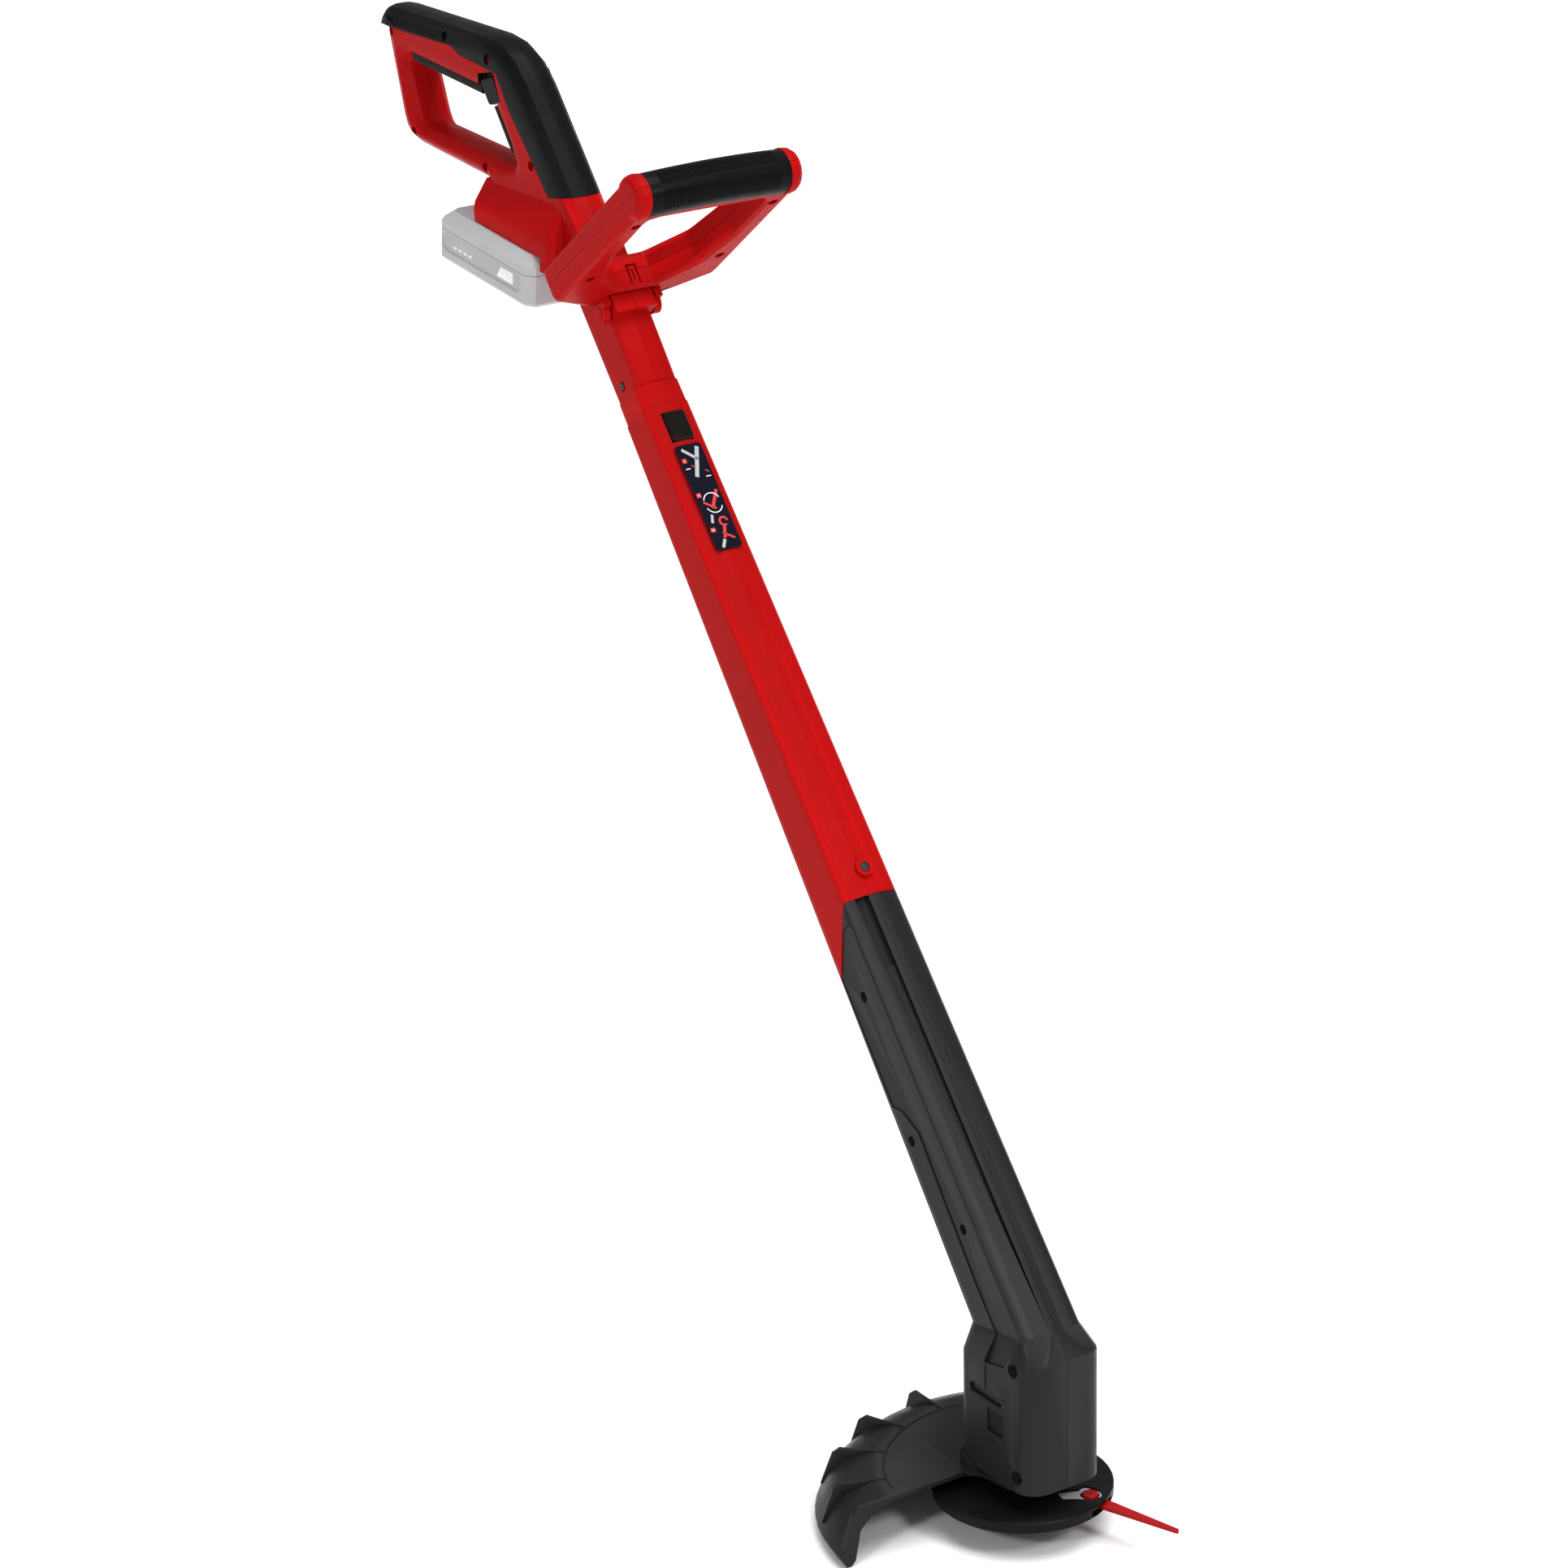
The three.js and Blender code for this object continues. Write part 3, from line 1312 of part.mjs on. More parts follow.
const RELEASE = { side: 15, low: -11, high: -4.5 };
const releaseButton = () => {
  const end = BATTERY_LENGTH / 2;
  return chamferedBox(-end - 1.5, -end + 6, RELEASE.side, RELEASE.low, RELEASE.high, [1, 1], 1.5);
};

function cellPack() {
  const radius = 9.15;
  const cells = [-2, -1, 0, 1, 2].map((place) => {
    const x = 3 + place * 18.2;
    return solid(rod([x, -32.5, -24.5], [x, 32.5, -24.5], radius, 16));
  });
  return join(...cells);
}

// ---------------------------------------------------------------- front handle
const FRONT_SCREWS = [
  [133, -54.5],
  [52, -52],
  [133, 54.5],
  [52, 52],
  [4, 31],
];

const frontFrame = new THREE.Matrix4().multiplyMatrices(
  new THREE.Matrix4().makeTranslation(0, 0, FRONT_CENTRE_S),
  new THREE.Matrix4().makeRotationY(FRONT_TILT),
);

// The outline across the shaft, as [y, a, radius] corners, round the notch that clears the tube.
const FRONT_TOP_A = FRONT_GRIP_A + 14;
const FRONT_OUTLINE = [
  [FRONT_HALF_WIDTH, 18, 7],
  [FRONT_HALF_WIDTH, FRONT_TOP_A, 22],
  [-FRONT_HALF_WIDTH, FRONT_TOP_A, 22],
  [-FRONT_HALF_WIDTH, 18, 7],
  [-27, -5, 4],
  [-18.2, -7, 1],
  [-18.2, 11, 1],
  [18.2, 11, 1],
  [18.2, -7, 1],
  [27, -5, 4],
];

const FRONT_OPENING = [
  [14, 22, 4],
  [38, 46, 10],
  [46.5, 85, 12],
  [46.5, 139, 6],
  [-46.5, 139, 6],
  [-46.5, 85, 12],
  [-38, 46, 10],
  [-14, 22, 4],
];

function frontSolid(inset, round) {
  const steps = inset > 0 ? 1 : 2;
  const slab = cushion(FRONT_OUTLINE, FRONT_OPENING, FRONT_THICKNESS / 2, round, inset, steps);
  return solid(geometryOf(slab).rotateX(Math.PI).rotateZ(Math.PI / 2).applyMatrix4(frontFrame));
}

function gripBar(radius, halfLength, sides = 12) {
  const arch = 4;
  const path = new THREE.QuadraticBezierCurve3(
    new THREE.Vector3(FRONT_GRIP_A, -halfLength, 0),
    new THREE.Vector3(FRONT_GRIP_A + 2 * arch, 0, 0),
    new THREE.Vector3(FRONT_GRIP_A, halfLength, 0),
  );
  const section = new THREE.Shape(
    Array.from({ length: sides }, (_, index) => {
      const angle = (index / sides) * 2 * Math.PI;
      return new THREE.Vector2(radius * Math.cos(angle), radius * Math.sin(angle));
    }),
  );
  const geometry = new THREE.ExtrudeGeometry(
    section,
    { steps: 6, extrudePath: path, bevelEnabled: false },
  );
  return solid(geometry.applyMatrix4(frontFrame));
}

// A rounded red cap round each end of the grip.
function frontShoulder(side) {
  const start = FRONT_GRIP_HALF_LENGTH + 0.3;
  const profile = [
    [0, start],
    [15.6, start],
    [15.9, 58],
    [15.3, 61.5],
    [13.5, 64.3],
    [10.5, FRONT_HALF_WIDTH],
    [0, FRONT_HALF_WIDTH],
  ];
  const cap = turned(profile, 20).rotateX((-side * Math.PI) / 2).translate(FRONT_GRIP_A, 0, 0);
  return solid(cap.applyMatrix4(frontFrame));
}

function frontHandleShell() {
  const frame = join(cut(frontSolid(0, 5), frontSolid(3, 3)));
  const bosses = FRONT_SCREWS.map(([a, y]) =>
    solid(rod([a, y, -14], [a, y, 14], 4.6, 8).applyMatrix4(frontFrame)));
  const bossSum = join(...bosses).intersect(frontSolid(0, 5));
  const gripRoom = gripBar(FRONT_GRIP_RADIUS + GAP, FRONT_GRIP_HALF_LENGTH + GAP);
  const blockHalf = FRONT_GRIP_HALF_LENGTH + GAP;
  const gripBlock = solid(box(150, 190, -blockHalf, blockHalf, -20, 20).applyMatrix4(frontFrame));
  const core = gripBar(FRONT_GRIP_CORE, FRONT_GRIP_HALF_LENGTH + 2, 8);
  const hooks = [-1, 1].map((side) => {
    const start = [HINGE_A, side * 18, HINGE_S];
    const end = [HINGE_A, side * HINGE_EYE_OUT, HINGE_S];
    const eye = solid(rod(start, end, HINGE_EYE_RADIUS, 20));
    const arm = solid(
      box(
        -6,
        10,
        Math.min(side * 18, side * HINGE_EYE_OUT),
        Math.max(side * 18, side * HINGE_EYE_OUT),
        HINGE_S,
        HINGE_S + 12,
      ),
    );
    return join(eye, arm);
  });
  const pinBore = solid(rod([HINGE_A, -40, HINGE_S], [HINGE_A, 40, HINGE_S], HINGE_RADIUS + GAP, 20));
  const shoulders = [-1, 1].map((side) => frontShoulder(side));
  const body = join(cut(join(frame, bossSum, ...shoulders), gripRoom, gripBlock), core, ...hooks);
  const bores = FRONT_SCREWS.map(([a, y]) => frontScrewBore(a, y));
  return cut(body, pinBore, ...bores);
}

const FRONT_SCREW_SEAT = -9;
const FRONT_SCREW_REACH = 16;

function frontScrewBore(a, y) {
  const bore = screwBore([a, y, FRONT_SCREW_SEAT], [0, 0, 1], FRONT_SCREW_REACH);
  return solid(geometryOf(bore).applyMatrix4(frontFrame));
}

function frontScrew(a, y) {
  const piece = screw([a, y, FRONT_SCREW_SEAT], [0, 0, 1], FRONT_SCREW_REACH);
  return solid(geometryOf(piece).applyMatrix4(frontFrame));
}

function frontHalf(shape, side) {
  const block = side < 0 ? box(-200, 400, -200, 200, -GAP / 2, 300) : box(
    -200,
    400,
    -200,
    200,
    -300,
    GAP / 2,
  );
  return cut(shape, solid(block.applyMatrix4(frontFrame)));
}

const frontGrip = () =>
  cut(
    gripBar(FRONT_GRIP_RADIUS, FRONT_GRIP_HALF_LENGTH),
    gripBar(FRONT_GRIP_CORE + GAP, FRONT_GRIP_HALF_LENGTH + 2, 8),
  );

// ---------------------------------------------------------------- assembly
const housing = lowerHousing();
addPiece(trimmer, "lower_housing_right", half.right(housing), material.dark);
addPiece(trimmer, "lower_housing_left", half.left(housing), material.dark);
LOWER_SCREWS.forEach(({ x, z, seat, reach }, index) => {
  addPiece(
    trimmer,
    `housing_screw_${index + 1}`,
    screw([x, -seat, z], [0, 1, 0], reach),
    material.darkSteel,
  );
});
addPiece(shaft, "main_tube", mainTube(), material.red);
addPiece(shaft, "tube_collar", tubeCollar(), material.red);
addPiece(shaft, "tube_screw", screw([0.2, 0, TUBE_SCREW_S], [-1, 0, 0], 14), material.darkSteel);
addPiece(shaft, "instruction_label", labelPlate(), material.label);
addPiece(shaft, "shaft_lock_button", lockButton(), material.glossBlack);
addPiece(shaft, "cable_socket", cableSocket(), material.black);
addPiece(trimmer, "motor_cable", motorCable(), material.wire);

addPiece(trimmer, "motor_can", motorCan(), material.steel);
addPiece(trimmer, "motor_end_cap", motorEndCap(), material.black);
addPiece(trimmer, "motor_bearing_upper", bearing(MOTOR_HIGH_Z - 4.5), material.steel);
addPiece(trimmer, "motor_bearing_lower", bearing(MOTOR_LOW_Z + 0.5), material.steel);
addPiece(trimmer, "motor_shaft", motorShaft(), material.steel);
addPiece(trimmer, "motor_rotor", rotorCore(), material.copper);

addPiece(trimmer, "cutting_disc", cuttingDisc(), material.black);
addPiece(trimmer, "disc_nut", discNut(), material.steel);
addPiece(trimmer, "cutting_blade", blade(), material.bladeRed);
addPiece(trimmer, "guard", guard(), material.dark);
addPiece(
  trimmer,
  "guard_screw",
  screw([GUARD_SCREW.headX, GUARD_SCREW.y, GUARD_SCREW.z], [1, 0, 0], 9, 3),
  material.darkSteel,
);

const shell = handleShell();
addPiece(trimmer, "handle_shell_right", half.right(shell), material.red);
addPiece(trimmer, "handle_shell_left", half.left(shell), material.red);
const grip = softGrip();
addPiece(trimmer, "soft_grip_right", half.right(grip), material.rubber);
addPiece(trimmer, "soft_grip_left", half.left(grip), material.rubber);
const lining = loopLining();
const upperLining = lining.intersect(solid(box(-760, -608, -60, 60, 700, 900)));
const columnLining = lining.intersect(solid(box(-608, -500, -60, 60, 700, 900)));
addPiece(trimmer, "loop_lining_right", half.right(upperLining), material.rubber);
addPiece(trimmer, "loop_lining_left", half.left(upperLining), material.rubber);
addPiece(trimmer, "column_lining_right", half.right(columnLining), material.rubber);
addPiece(trimmer, "column_lining_left", half.left(columnLining), material.rubber);
HANDLE_SCREWS.forEach(({ x, z }, index) => {
  const piece = screw([x, -HANDLE_SCREW_SEAT, z], [0, 1, 0], HANDLE_SCREW_REACH);
  addPiece(trimmer, `handle_screw_${index + 1}`, piece, material.darkSteel);
});
const collarHead = onShaft(COLLAR_SCREW.a, 0, COLLAR_SCREW.s);
const collarScrew = screw(
  [collarHead.x, -COLLAR_SCREW.seat, collarHead.z],
  [0, 1, 0],
  COLLAR_SCREW.reach - 1,
  2.8,
);
addPiece(trimmer, "handle_screw_7", collarScrew, material.darkSteel);
addPiece(trimmer, "trigger", trigger(), material.black);
addPiece(trimmer, "trigger_pin", triggerPin(), material.steel);
addPiece(shaft, "lockoff_button", lockoffButton(), material.black);
addPiece(trimmer, "switch_module", switchModule(), material.black);
addPiece(trimmer, "handle_cable", handleCable(), material.wire);
addPiece(shaft, "cable_plug", cablePlug(), material.black);
addPiece(shaft, "spigot_tube", spigot(), material.steel);
addPiece(battery, "terminal_block", terminalBlock(), material.black);

const { lid, base } = batteryShells();
addPiece(battery, "battery_lid", lid, material.battery);
addPiece(battery, "battery_base", base, material.battery);
addPiece(battery, "battery_cells", cellPack(), material.cell);
addPiece(battery, "battery_release_button", releaseButton(), material.battery);

const frontShell = frontHandleShell();
addPiece(shaft, "front_handle_lower", frontHalf(frontShell, -1), material.red);
addPiece(shaft, "front_handle_upper", frontHalf(frontShell, 1), material.red);
addPiece(shaft, "front_grip", frontGrip(), material.rubber);
FRONT_SCREWS.forEach(([a, y], index) => {
  addPiece(shaft, `front_handle_screw_${index + 1}`, frontScrew(a, y), material.darkSteel);
});

export default trimmer;
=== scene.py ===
"""The looks of a two-piece battery string trimmer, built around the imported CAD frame.

Lengths in this file are millimetres; MM turns them into metres. Shaft coordinates are (a, y, s): a runs out of
the front face, y to the left, s up the shaft.
"""

import json
import math

import bmesh
import bpy
from mathutils import Matrix, Vector

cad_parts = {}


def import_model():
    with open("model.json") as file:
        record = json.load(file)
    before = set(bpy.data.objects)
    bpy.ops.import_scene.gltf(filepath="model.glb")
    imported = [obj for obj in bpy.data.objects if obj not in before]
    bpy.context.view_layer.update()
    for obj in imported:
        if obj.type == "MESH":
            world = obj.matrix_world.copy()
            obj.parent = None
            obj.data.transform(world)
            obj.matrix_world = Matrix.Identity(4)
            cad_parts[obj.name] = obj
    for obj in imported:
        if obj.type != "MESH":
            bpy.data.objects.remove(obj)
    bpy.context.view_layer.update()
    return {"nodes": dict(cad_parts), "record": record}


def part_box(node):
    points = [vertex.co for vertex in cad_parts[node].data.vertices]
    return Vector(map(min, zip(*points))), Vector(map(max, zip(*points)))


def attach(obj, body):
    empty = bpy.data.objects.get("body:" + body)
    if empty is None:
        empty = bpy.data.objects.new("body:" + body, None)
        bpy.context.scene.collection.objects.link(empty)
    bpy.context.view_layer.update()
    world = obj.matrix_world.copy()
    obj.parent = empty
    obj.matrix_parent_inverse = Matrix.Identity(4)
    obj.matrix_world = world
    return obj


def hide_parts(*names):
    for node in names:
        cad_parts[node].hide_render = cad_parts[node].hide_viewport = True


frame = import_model()
NODES = frame["nodes"]

MM = 0.001
TURN = 2 * math.pi


# ---------------------------------------------------------------- camera
CAMERA_ELEVATION = math.radians(20.85)
CAMERA_AZIMUTH = math.radians(33.32)
CAMERA_ROLL = math.radians(-1.33)
CAMERA_DISTANCE = 3264.0
SPINDLE_RIGHT = 159.84  # where the disc's centre lies from the view axis
SPINDLE_UP = -472.39
SENSOR = 36.0
LENS = SENSOR * 6000 / 1930


def add_camera():
    level = math.cos(CAMERA_ELEVATION)
    back = Vector(
        (
            math.cos(CAMERA_AZIMUTH) * level,
            -math.sin(CAMERA_AZIMUTH) * level,
            math.sin(CAMERA_ELEVATION),
        )
    )
    right = Vector((math.sin(CAMERA_AZIMUTH), math.cos(CAMERA_AZIMUTH), 0))
    up = back.cross(right)
    roll = Matrix.Rotation(CAMERA_ROLL, 3, back)
    right, up = roll @ right, roll @ up
    place = back * CAMERA_DISTANCE - right * SPINDLE_RIGHT - up * SPINDLE_UP
    data = bpy.data.cameras.new("camera")
    data.sensor_width = SENSOR
    data.lens = LENS
    data.clip_end = 50
    camera = bpy.data.objects.new("camera", data)
    bpy.context.scene.collection.objects.link(camera)
    camera.matrix_world = Matrix.Translation(place * MM) @ Matrix((right, up, back)).transposed().to_4x4()
    bpy.context.scene.camera = camera


add_camera()


# ---------------------------------------------------------------- floor, lights, backdrop
FLOOR_Z = -21.0


def add_light(name, place, target, size, power, colour=(1, 1, 1)):
    data = bpy.data.lights.new(name, "AREA")
    data.shape = "DISK"
    data.size = size
    data.energy = power
    data.color = colour
    light = bpy.data.objects.new(name, data)
    bpy.context.scene.collection.objects.link(light)
    light.location = place
    light.rotation_euler = (Vector(target) - Vector(place)).to_track_quat("-Z", "Y").to_euler()


def add_world():
    """A soft even light from all round, which the camera itself sees as plain white."""
    studio = bpy.data.worlds.new("studio")
    studio.use_nodes = True
    tree = studio.node_tree
    lit = tree.nodes["Background"]
    seen = tree.nodes.new("ShaderNodeBackground")
    for node, strength in ((lit, 0.38), (seen, 1.0)):
        node.inputs["Color"].default_value = (1, 1, 1, 1)
        node.inputs["Strength"].default_value = strength
    path = tree.nodes.new("ShaderNodeLightPath")
    choice = tree.nodes.new("ShaderNodeMixShader")
    tree.links.new(path.outputs["Is Camera Ray"], choice.inputs[0])
    tree.links.new(lit.outputs["Background"], choice.inputs[1])
    tree.links.new(seen.outputs["Background"], choice.inputs[2])
    tree.links.new(choice.outputs["Shader"], tree.nodes["World Output"].inputs["Surface"])
    bpy.context.scene.world = studio


def add_stage():
    bm = bmesh.new()
    bmesh.ops.create_grid(bm, x_segments=8, y_segments=8, size=9.0)
    mesh = bpy.data.meshes.new("floor")
    bm.to_mesh(mesh)
    bm.free()
    floor = bpy.data.objects.new("floor", mesh)
    bpy.context.scene.collection.objects.link(floor)
    floor.location.z = FLOOR_Z * MM
    material = bpy.data.materials.new("floor_paper")
    material.use_nodes = True
    shader = material.node_tree.nodes["Principled BSDF"]
    shader.inputs["Base Color"].default_value = (0.95, 0.95, 0.95, 1)
    shader.inputs["Roughness"].default_value = 0.9
    mesh.materials.append(material)
    add_world()
    add_light("key", (2.7, 0.7, 2.5), (-0.2, 0, 0.4), 0.8, 40)
    add_light("side", (1.1, -2.7, 1.9), (-0.2, 0, 0.4), 0.4, 30)
    sun = bpy.data.lights.new("overhead", "SUN")
    sun.energy = 2.7
    sun.angle = math.radians(50)
    overhead = bpy.data.objects.new("overhead", sun)
    bpy.context.scene.collection.objects.link(overhead)
    overhead.rotation_euler = (math.radians(-6), math.radians(8), 0)
    scene = bpy.context.scene
    scene.view_settings.view_transform = "Standard"
    scene.view_settings.look = "None"


add_stage()


# ---------------------------------------------------------------- materials
class Nodes:
    """A material's node tree with short helpers."""

    def __init__(self, name):
        self.material = bpy.data.materials.new(name)
        self.material.use_nodes = True
        self.tree = self.material.node_tree
        self.shader = self.tree.nodes["Principled BSDF"]
        self.coords = self.tree.nodes.new("ShaderNodeTexCoord").outputs["Object"]

    def link(self, out, into):
        self.tree.links.new(out, into)

    def noise(self, scale, detail=2.0, rough=0.55, coords=None):
        node = self.tree.nodes.new("ShaderNodeTexNoise")
        node.inputs["Scale"].default_value = scale
        node.inputs["Detail"].default_value = detail
        node.inputs["Roughness"].default_value = rough
        self.link(coords or self.coords, node.inputs["Vector"])
        return node.outputs["Fac"]

    def stretched(self, scale):
        node = self.tree.nodes.new("ShaderNodeMapping")
        node.inputs["Scale"].default_value = scale
        self.link(self.coords, node.inputs["Vector"])
        return node.outputs["Vector"]

    def cells(self, scale):
        node = self.tree.nodes.new("ShaderNodeTexVoronoi")
        node.inputs["Scale"].default_value = scale
        self.link(self.coords, node.inputs["Vector"])
        return node.outputs["Distance"]

    def span(self, value, low, high, to_low, to_high):
        node = self.tree.nodes.new("ShaderNodeMapRange")
        for name, number in (("From Min", low), ("From Max", high), ("To Min", to_low), ("To Max", to_high)):
            node.inputs[name].default_value = number
        self.link(value, node.inputs["Value"])
        return node.outputs["Result"]

    def mix(self, factor, first, second):
        node = self.tree.nodes.new("ShaderNodeMix")
        node.data_type = "RGBA"
        self.link(factor, node.inputs["Factor"])
        for socket, value in ((node.inputs["A"], first), (node.inputs["B"], second)):
            if isinstance(value, tuple):
                socket.default_value = (*value, 1)
            else:
                self.link(value, socket)
        return node.outputs["Result"]

    def edges(self, low=0.52, high=0.66):
        # Pointiness mask of the convex edges; the materials paint them lighter, partly as wear and partly as a painted
        # highlight.
        node = self.tree.nodes.new("ShaderNodeNewGeometry")
        return self.span(node.outputs["Pointiness"], low, high, 0, 1)

    def bump(self, layers):
        normal = None
        for height, strength, distance in layers:
            node = self.tree.nodes.new("ShaderNodeBump")
            node.inputs["Strength"].default_value = strength
            node.inputs["Distance"].default_value = distance * MM
            self.link(height, node.inputs["Height"])
            if normal:
                self.link(normal, node.inputs["Normal"])
            normal = node.outputs["Normal"]
        self.link(normal, self.shader.inputs["Normal"])


def shade(colour, factor):
    return tuple(min(1.0, part * factor) for part in colour)


def moulded(name, colour, rough, grain, texture=0.25, edge=1.25, specular=0.5, coat=0.0):
    """Moulded plastic: slow tone changes, spark-eroded grain, faint flow lines, and edges painted lighter, partly as
    rubbing wear and partly as a painted highlight.
    """
    n = Nodes(name)
    slow = n.span(n.noise(9, 3), 0.35, 0.65, 0, 1)
    tone = n.mix(slow, shade(colour, 0.93), shade(colour, 1.06))
    flow = n.span(n.noise(30, 4, coords=n.stretched((1, 1, 0.25))), 0.4, 0.62, 0, 0.35)
    tone = n.mix(flow, tone, shade(colour, 0.9))
    # Convex edges painted lighter by the edge factor: partly rubbing wear, partly a painted highlight along the rounded
    # corners.
    n.link(n.mix(n.edges(), tone, shade(colour, edge)), n.shader.inputs["Base Color"])
    n.link(n.span(n.noise(70, 5), 0.3, 0.7, rough - 0.05, rough + 0.07), n.shader.inputs["Roughness"])
    n.shader.inputs["Specular IOR Level"].default_value = specular
    n.shader.inputs["Coat Weight"].default_value = coat
    n.shader.inputs["Coat Roughness"].default_value = 0.2
    n.bump([(n.noise(55, 2), 0.12, 0.35), (n.noise(grain, 2, 0.6), texture, 0.05)])
    return n.material


def soft_rubber(name, colour, rough):
    """Moulded rubber: fine pebble grain, a patchy tone, a slight sheen, and convex edges painted lighter, partly as
    wear and partly as a painted highlight.
    """
    n = Nodes(name)
    pebble = n.cells(1100)
    slow = n.span(n.noise(14, 4), 0.35, 0.65, 0, 1)
    tone = n.mix(slow, shade(colour, 0.85), shade(colour, 1.2))
    # Convex edges painted twice as light: partly wear, partly a painted highlight on the rubber's corners.
    n.link(n.mix(n.edges(0.53, 0.7), tone, shade(colour, 2.0)), n.shader.inputs["Base Color"])
    n.link(n.span(n.noise(90, 4), 0.3, 0.7, rough - 0.06, rough + 0.08), n.shader.inputs["Roughness"])
    n.shader.inputs["Specular IOR Level"].default_value = 0.06
    n.bump([(n.noise(40, 2), 0.15, 0.3), (pebble, 0.3, 0.09)])
    return n.material


def bare_metal(name, colour, rough, brushed):
    """Plated or drawn steel with fine drawn scratches."""
    n = Nodes(name)
    lines = n.noise(300, 4, coords=n.stretched(brushed))
    n.link(n.mix(n.span(lines, 0.35, 0.65, 0, 1), shade(colour, 0.8), shade(colour, 1.1)), n.shader.inputs["Base Color"])
    n.shader.inputs["Metallic"].default_value = 1
    n.link(n.span(lines, 0.3, 0.7, rough - 0.08, rough + 0.12), n.shader.inputs["Roughness"])
    n.bump([(lines, 0.15, 0.03)])
    return n.material


def film(name, colour, rough, coat=0.25, specular=0.5):
    """Printed label film: an even ink with faint mottling under a thin clear layer."""
    n = Nodes(name)
    mottle = n.span(n.noise(180, 4), 0.3, 0.7, 0, 1)
    n.link(n.mix(mottle, shade(colour, 0.92), shade(colour, 1.08)), n.shader.inputs["Base Color"])
    n.link(n.span(n.noise(60, 3), 0.3, 0.7, rough - 0.04, rough + 0.06), n.shader.inputs["Roughness"])
    n.shader.inputs["Specular IOR Level"].default_value = specular
    n.shader.inputs["Coat Weight"].default_value = coat
    n.shader.inputs["Coat Roughness"].default_value = 0.12
    n.bump([(n.noise(220, 3), 0.1, 0.02)])
    return n.material


RED = (0.355, 0.0035, 0.0038)
# The sixth argument of each moulded(...) call paints its edges lighter, partly as wear and partly as a painted
# highlight.
MATERIALS = {
    "red_plastic": moulded("red_plastic_grained", RED, 0.34, 1500, 0.2, 1.35, 0.03),
    "dark_plastic": moulded("dark_plastic_grained", (0.0155, 0.0142, 0.0158), 0.32, 1300, 0.25, 1.8, 0.07),
    "black_plastic": moulded("black_plastic_grained", (0.005, 0.005, 0.005), 0.34, 1300, 0.25, 2.2, 0.07),
    "gloss_black": moulded("gloss_black_smooth", (0.0035, 0.003, 0.0027), 0.18, 500, 0.03, 2.0, 0.12),
    "rubber": soft_rubber("grip_rubber", (0.0042, 0.0042, 0.0042), 0.38),
    "label": film("label_navy", (0.0035, 0.004, 0.011), 0.42, 0.0, 0.06),
    "battery_plastic": moulded("battery_grey_grained", (0.43, 0.435, 0.44), 0.45, 1400, 0.2, 1.2, 0.2),
    "blade_red": moulded("blade_red_smooth", (0.33, 0.0035, 0.0045), 0.3, 700, 0.08, 1.3, 0.12),
    "steel": bare_metal("steel_drawn", (0.55, 0.55, 0.56), 0.3, (1, 1, 0.1)),
    "dark_steel": bare_metal("dark_steel_drawn", (0.045, 0.045, 0.048), 0.42, (1, 1, 0.1)),
    "plate": moulded("window_plate_grey", (0.62, 0.62, 0.63), 0.4, 700, 0.08, 1.1),
    "copper": bare_metal("copper_wound", (0.75, 0.33, 0.16), 0.35, (0.1, 1, 1)),
    "cell_wrap": film("cell_wrap_blue", (0.05, 0.12, 0.30), 0.35),
    "wire": soft_rubber("wire_sheath", (0.015, 0.015, 0.015), 0.45),
}
PRINT = {
    "grey": film("print_grey", (0.42, 0.43, 0.45), 0.4),
    "white": film("print_white", (0.80, 0.80, 0.80), 0.4),
    "red": film("print_red", (0.62, 0.015, 0.02), 0.4),
}
PALE_FILM = film("window_pale", (0.78, 0.79, 0.80), 0.3)


# ---------------------------------------------------------------- frames and mesh helpers
SHAFT_LEAN = math.radians(40)
SHAFT_FOOT_Z = 181.5
FRONT_S = 722
FRONT_TILT = math.radians(2.5)
BATTERY_ORIGIN = Vector((-583, 0, 751.5))
BATTERY_TILT = math.radians(6)


def on_shaft(a, y, s):
    c, h = math.cos(SHAFT_LEAN), math.sin(SHAFT_LEAN)
    return Vector((a * c - s * h, y, SHAFT_FOOT_Z + s * c + a * h))


def on_front(a, y, up):
    c, h = math.cos(FRONT_TILT), math.sin(FRONT_TILT)
    return on_shaft(a * c + up * h, y, FRONT_S - a * h + up * c)


def on_battery(x, y, z):
    c, h = math.cos(BATTERY_TILT), math.sin(BATTERY_TILT)
    return BATTERY_ORIGIN + Vector((x * c + z * h, y, z * c - x * h))


def world(x, y, z):
    return Vector((x, y, z))


def shaft_half_width(s):
    return (47.6 - 0.0173 * s) / 2


def add_prism(bm, low, high):
    """A closed solid between two rings with the same count of points."""
    lower = [bm.verts.new(p * MM) for p in low]
    upper = [bm.verts.new(p * MM) for p in high]
    count = len(low)
    bm.faces.new(list(reversed(lower)))
    bm.faces.new(upper)
    for i in range(count):
        j = (i + 1) % count
        bm.faces.new([lower[i], lower[j], upper[j], upper[i]])


def add_rings(bm, rings, closed=False):
    """A skin through rings of points; the two ends are capped unless the rings close on themselves."""
    rows = [[bm.verts.new(p * MM) for p in ring] for ring in rings]
    pairs = list(zip(rows, rows[1:] + rows[:1])) if closed else list(zip(rows, rows[1:]))
    for low, high in pairs:
        count = len(low)
        for i in range(count):
            j = (i + 1) % count
            bm.faces.new([low[i], low[j], high[j], high[i]])
    if not closed:
        bm.faces.new(list(reversed(rows[0])))
        bm.faces.new(rows[-1])


def piece_from(bm, name, body, materials, weld=False, width=0.5):
    bmesh.ops.recalc_face_normals(bm, faces=bm.faces)
    mesh = bpy.data.meshes.new(name)
    bm.to_mesh(mesh)
    bm.free()
    for material in materials:
        mesh.materials.append(material)
    piece = bpy.data.objects.new(name, mesh)
    bpy.context.scene.collection.objects.link(piece)
    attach(piece, body)
    soften(piece, width, weld=weld)
    return piece


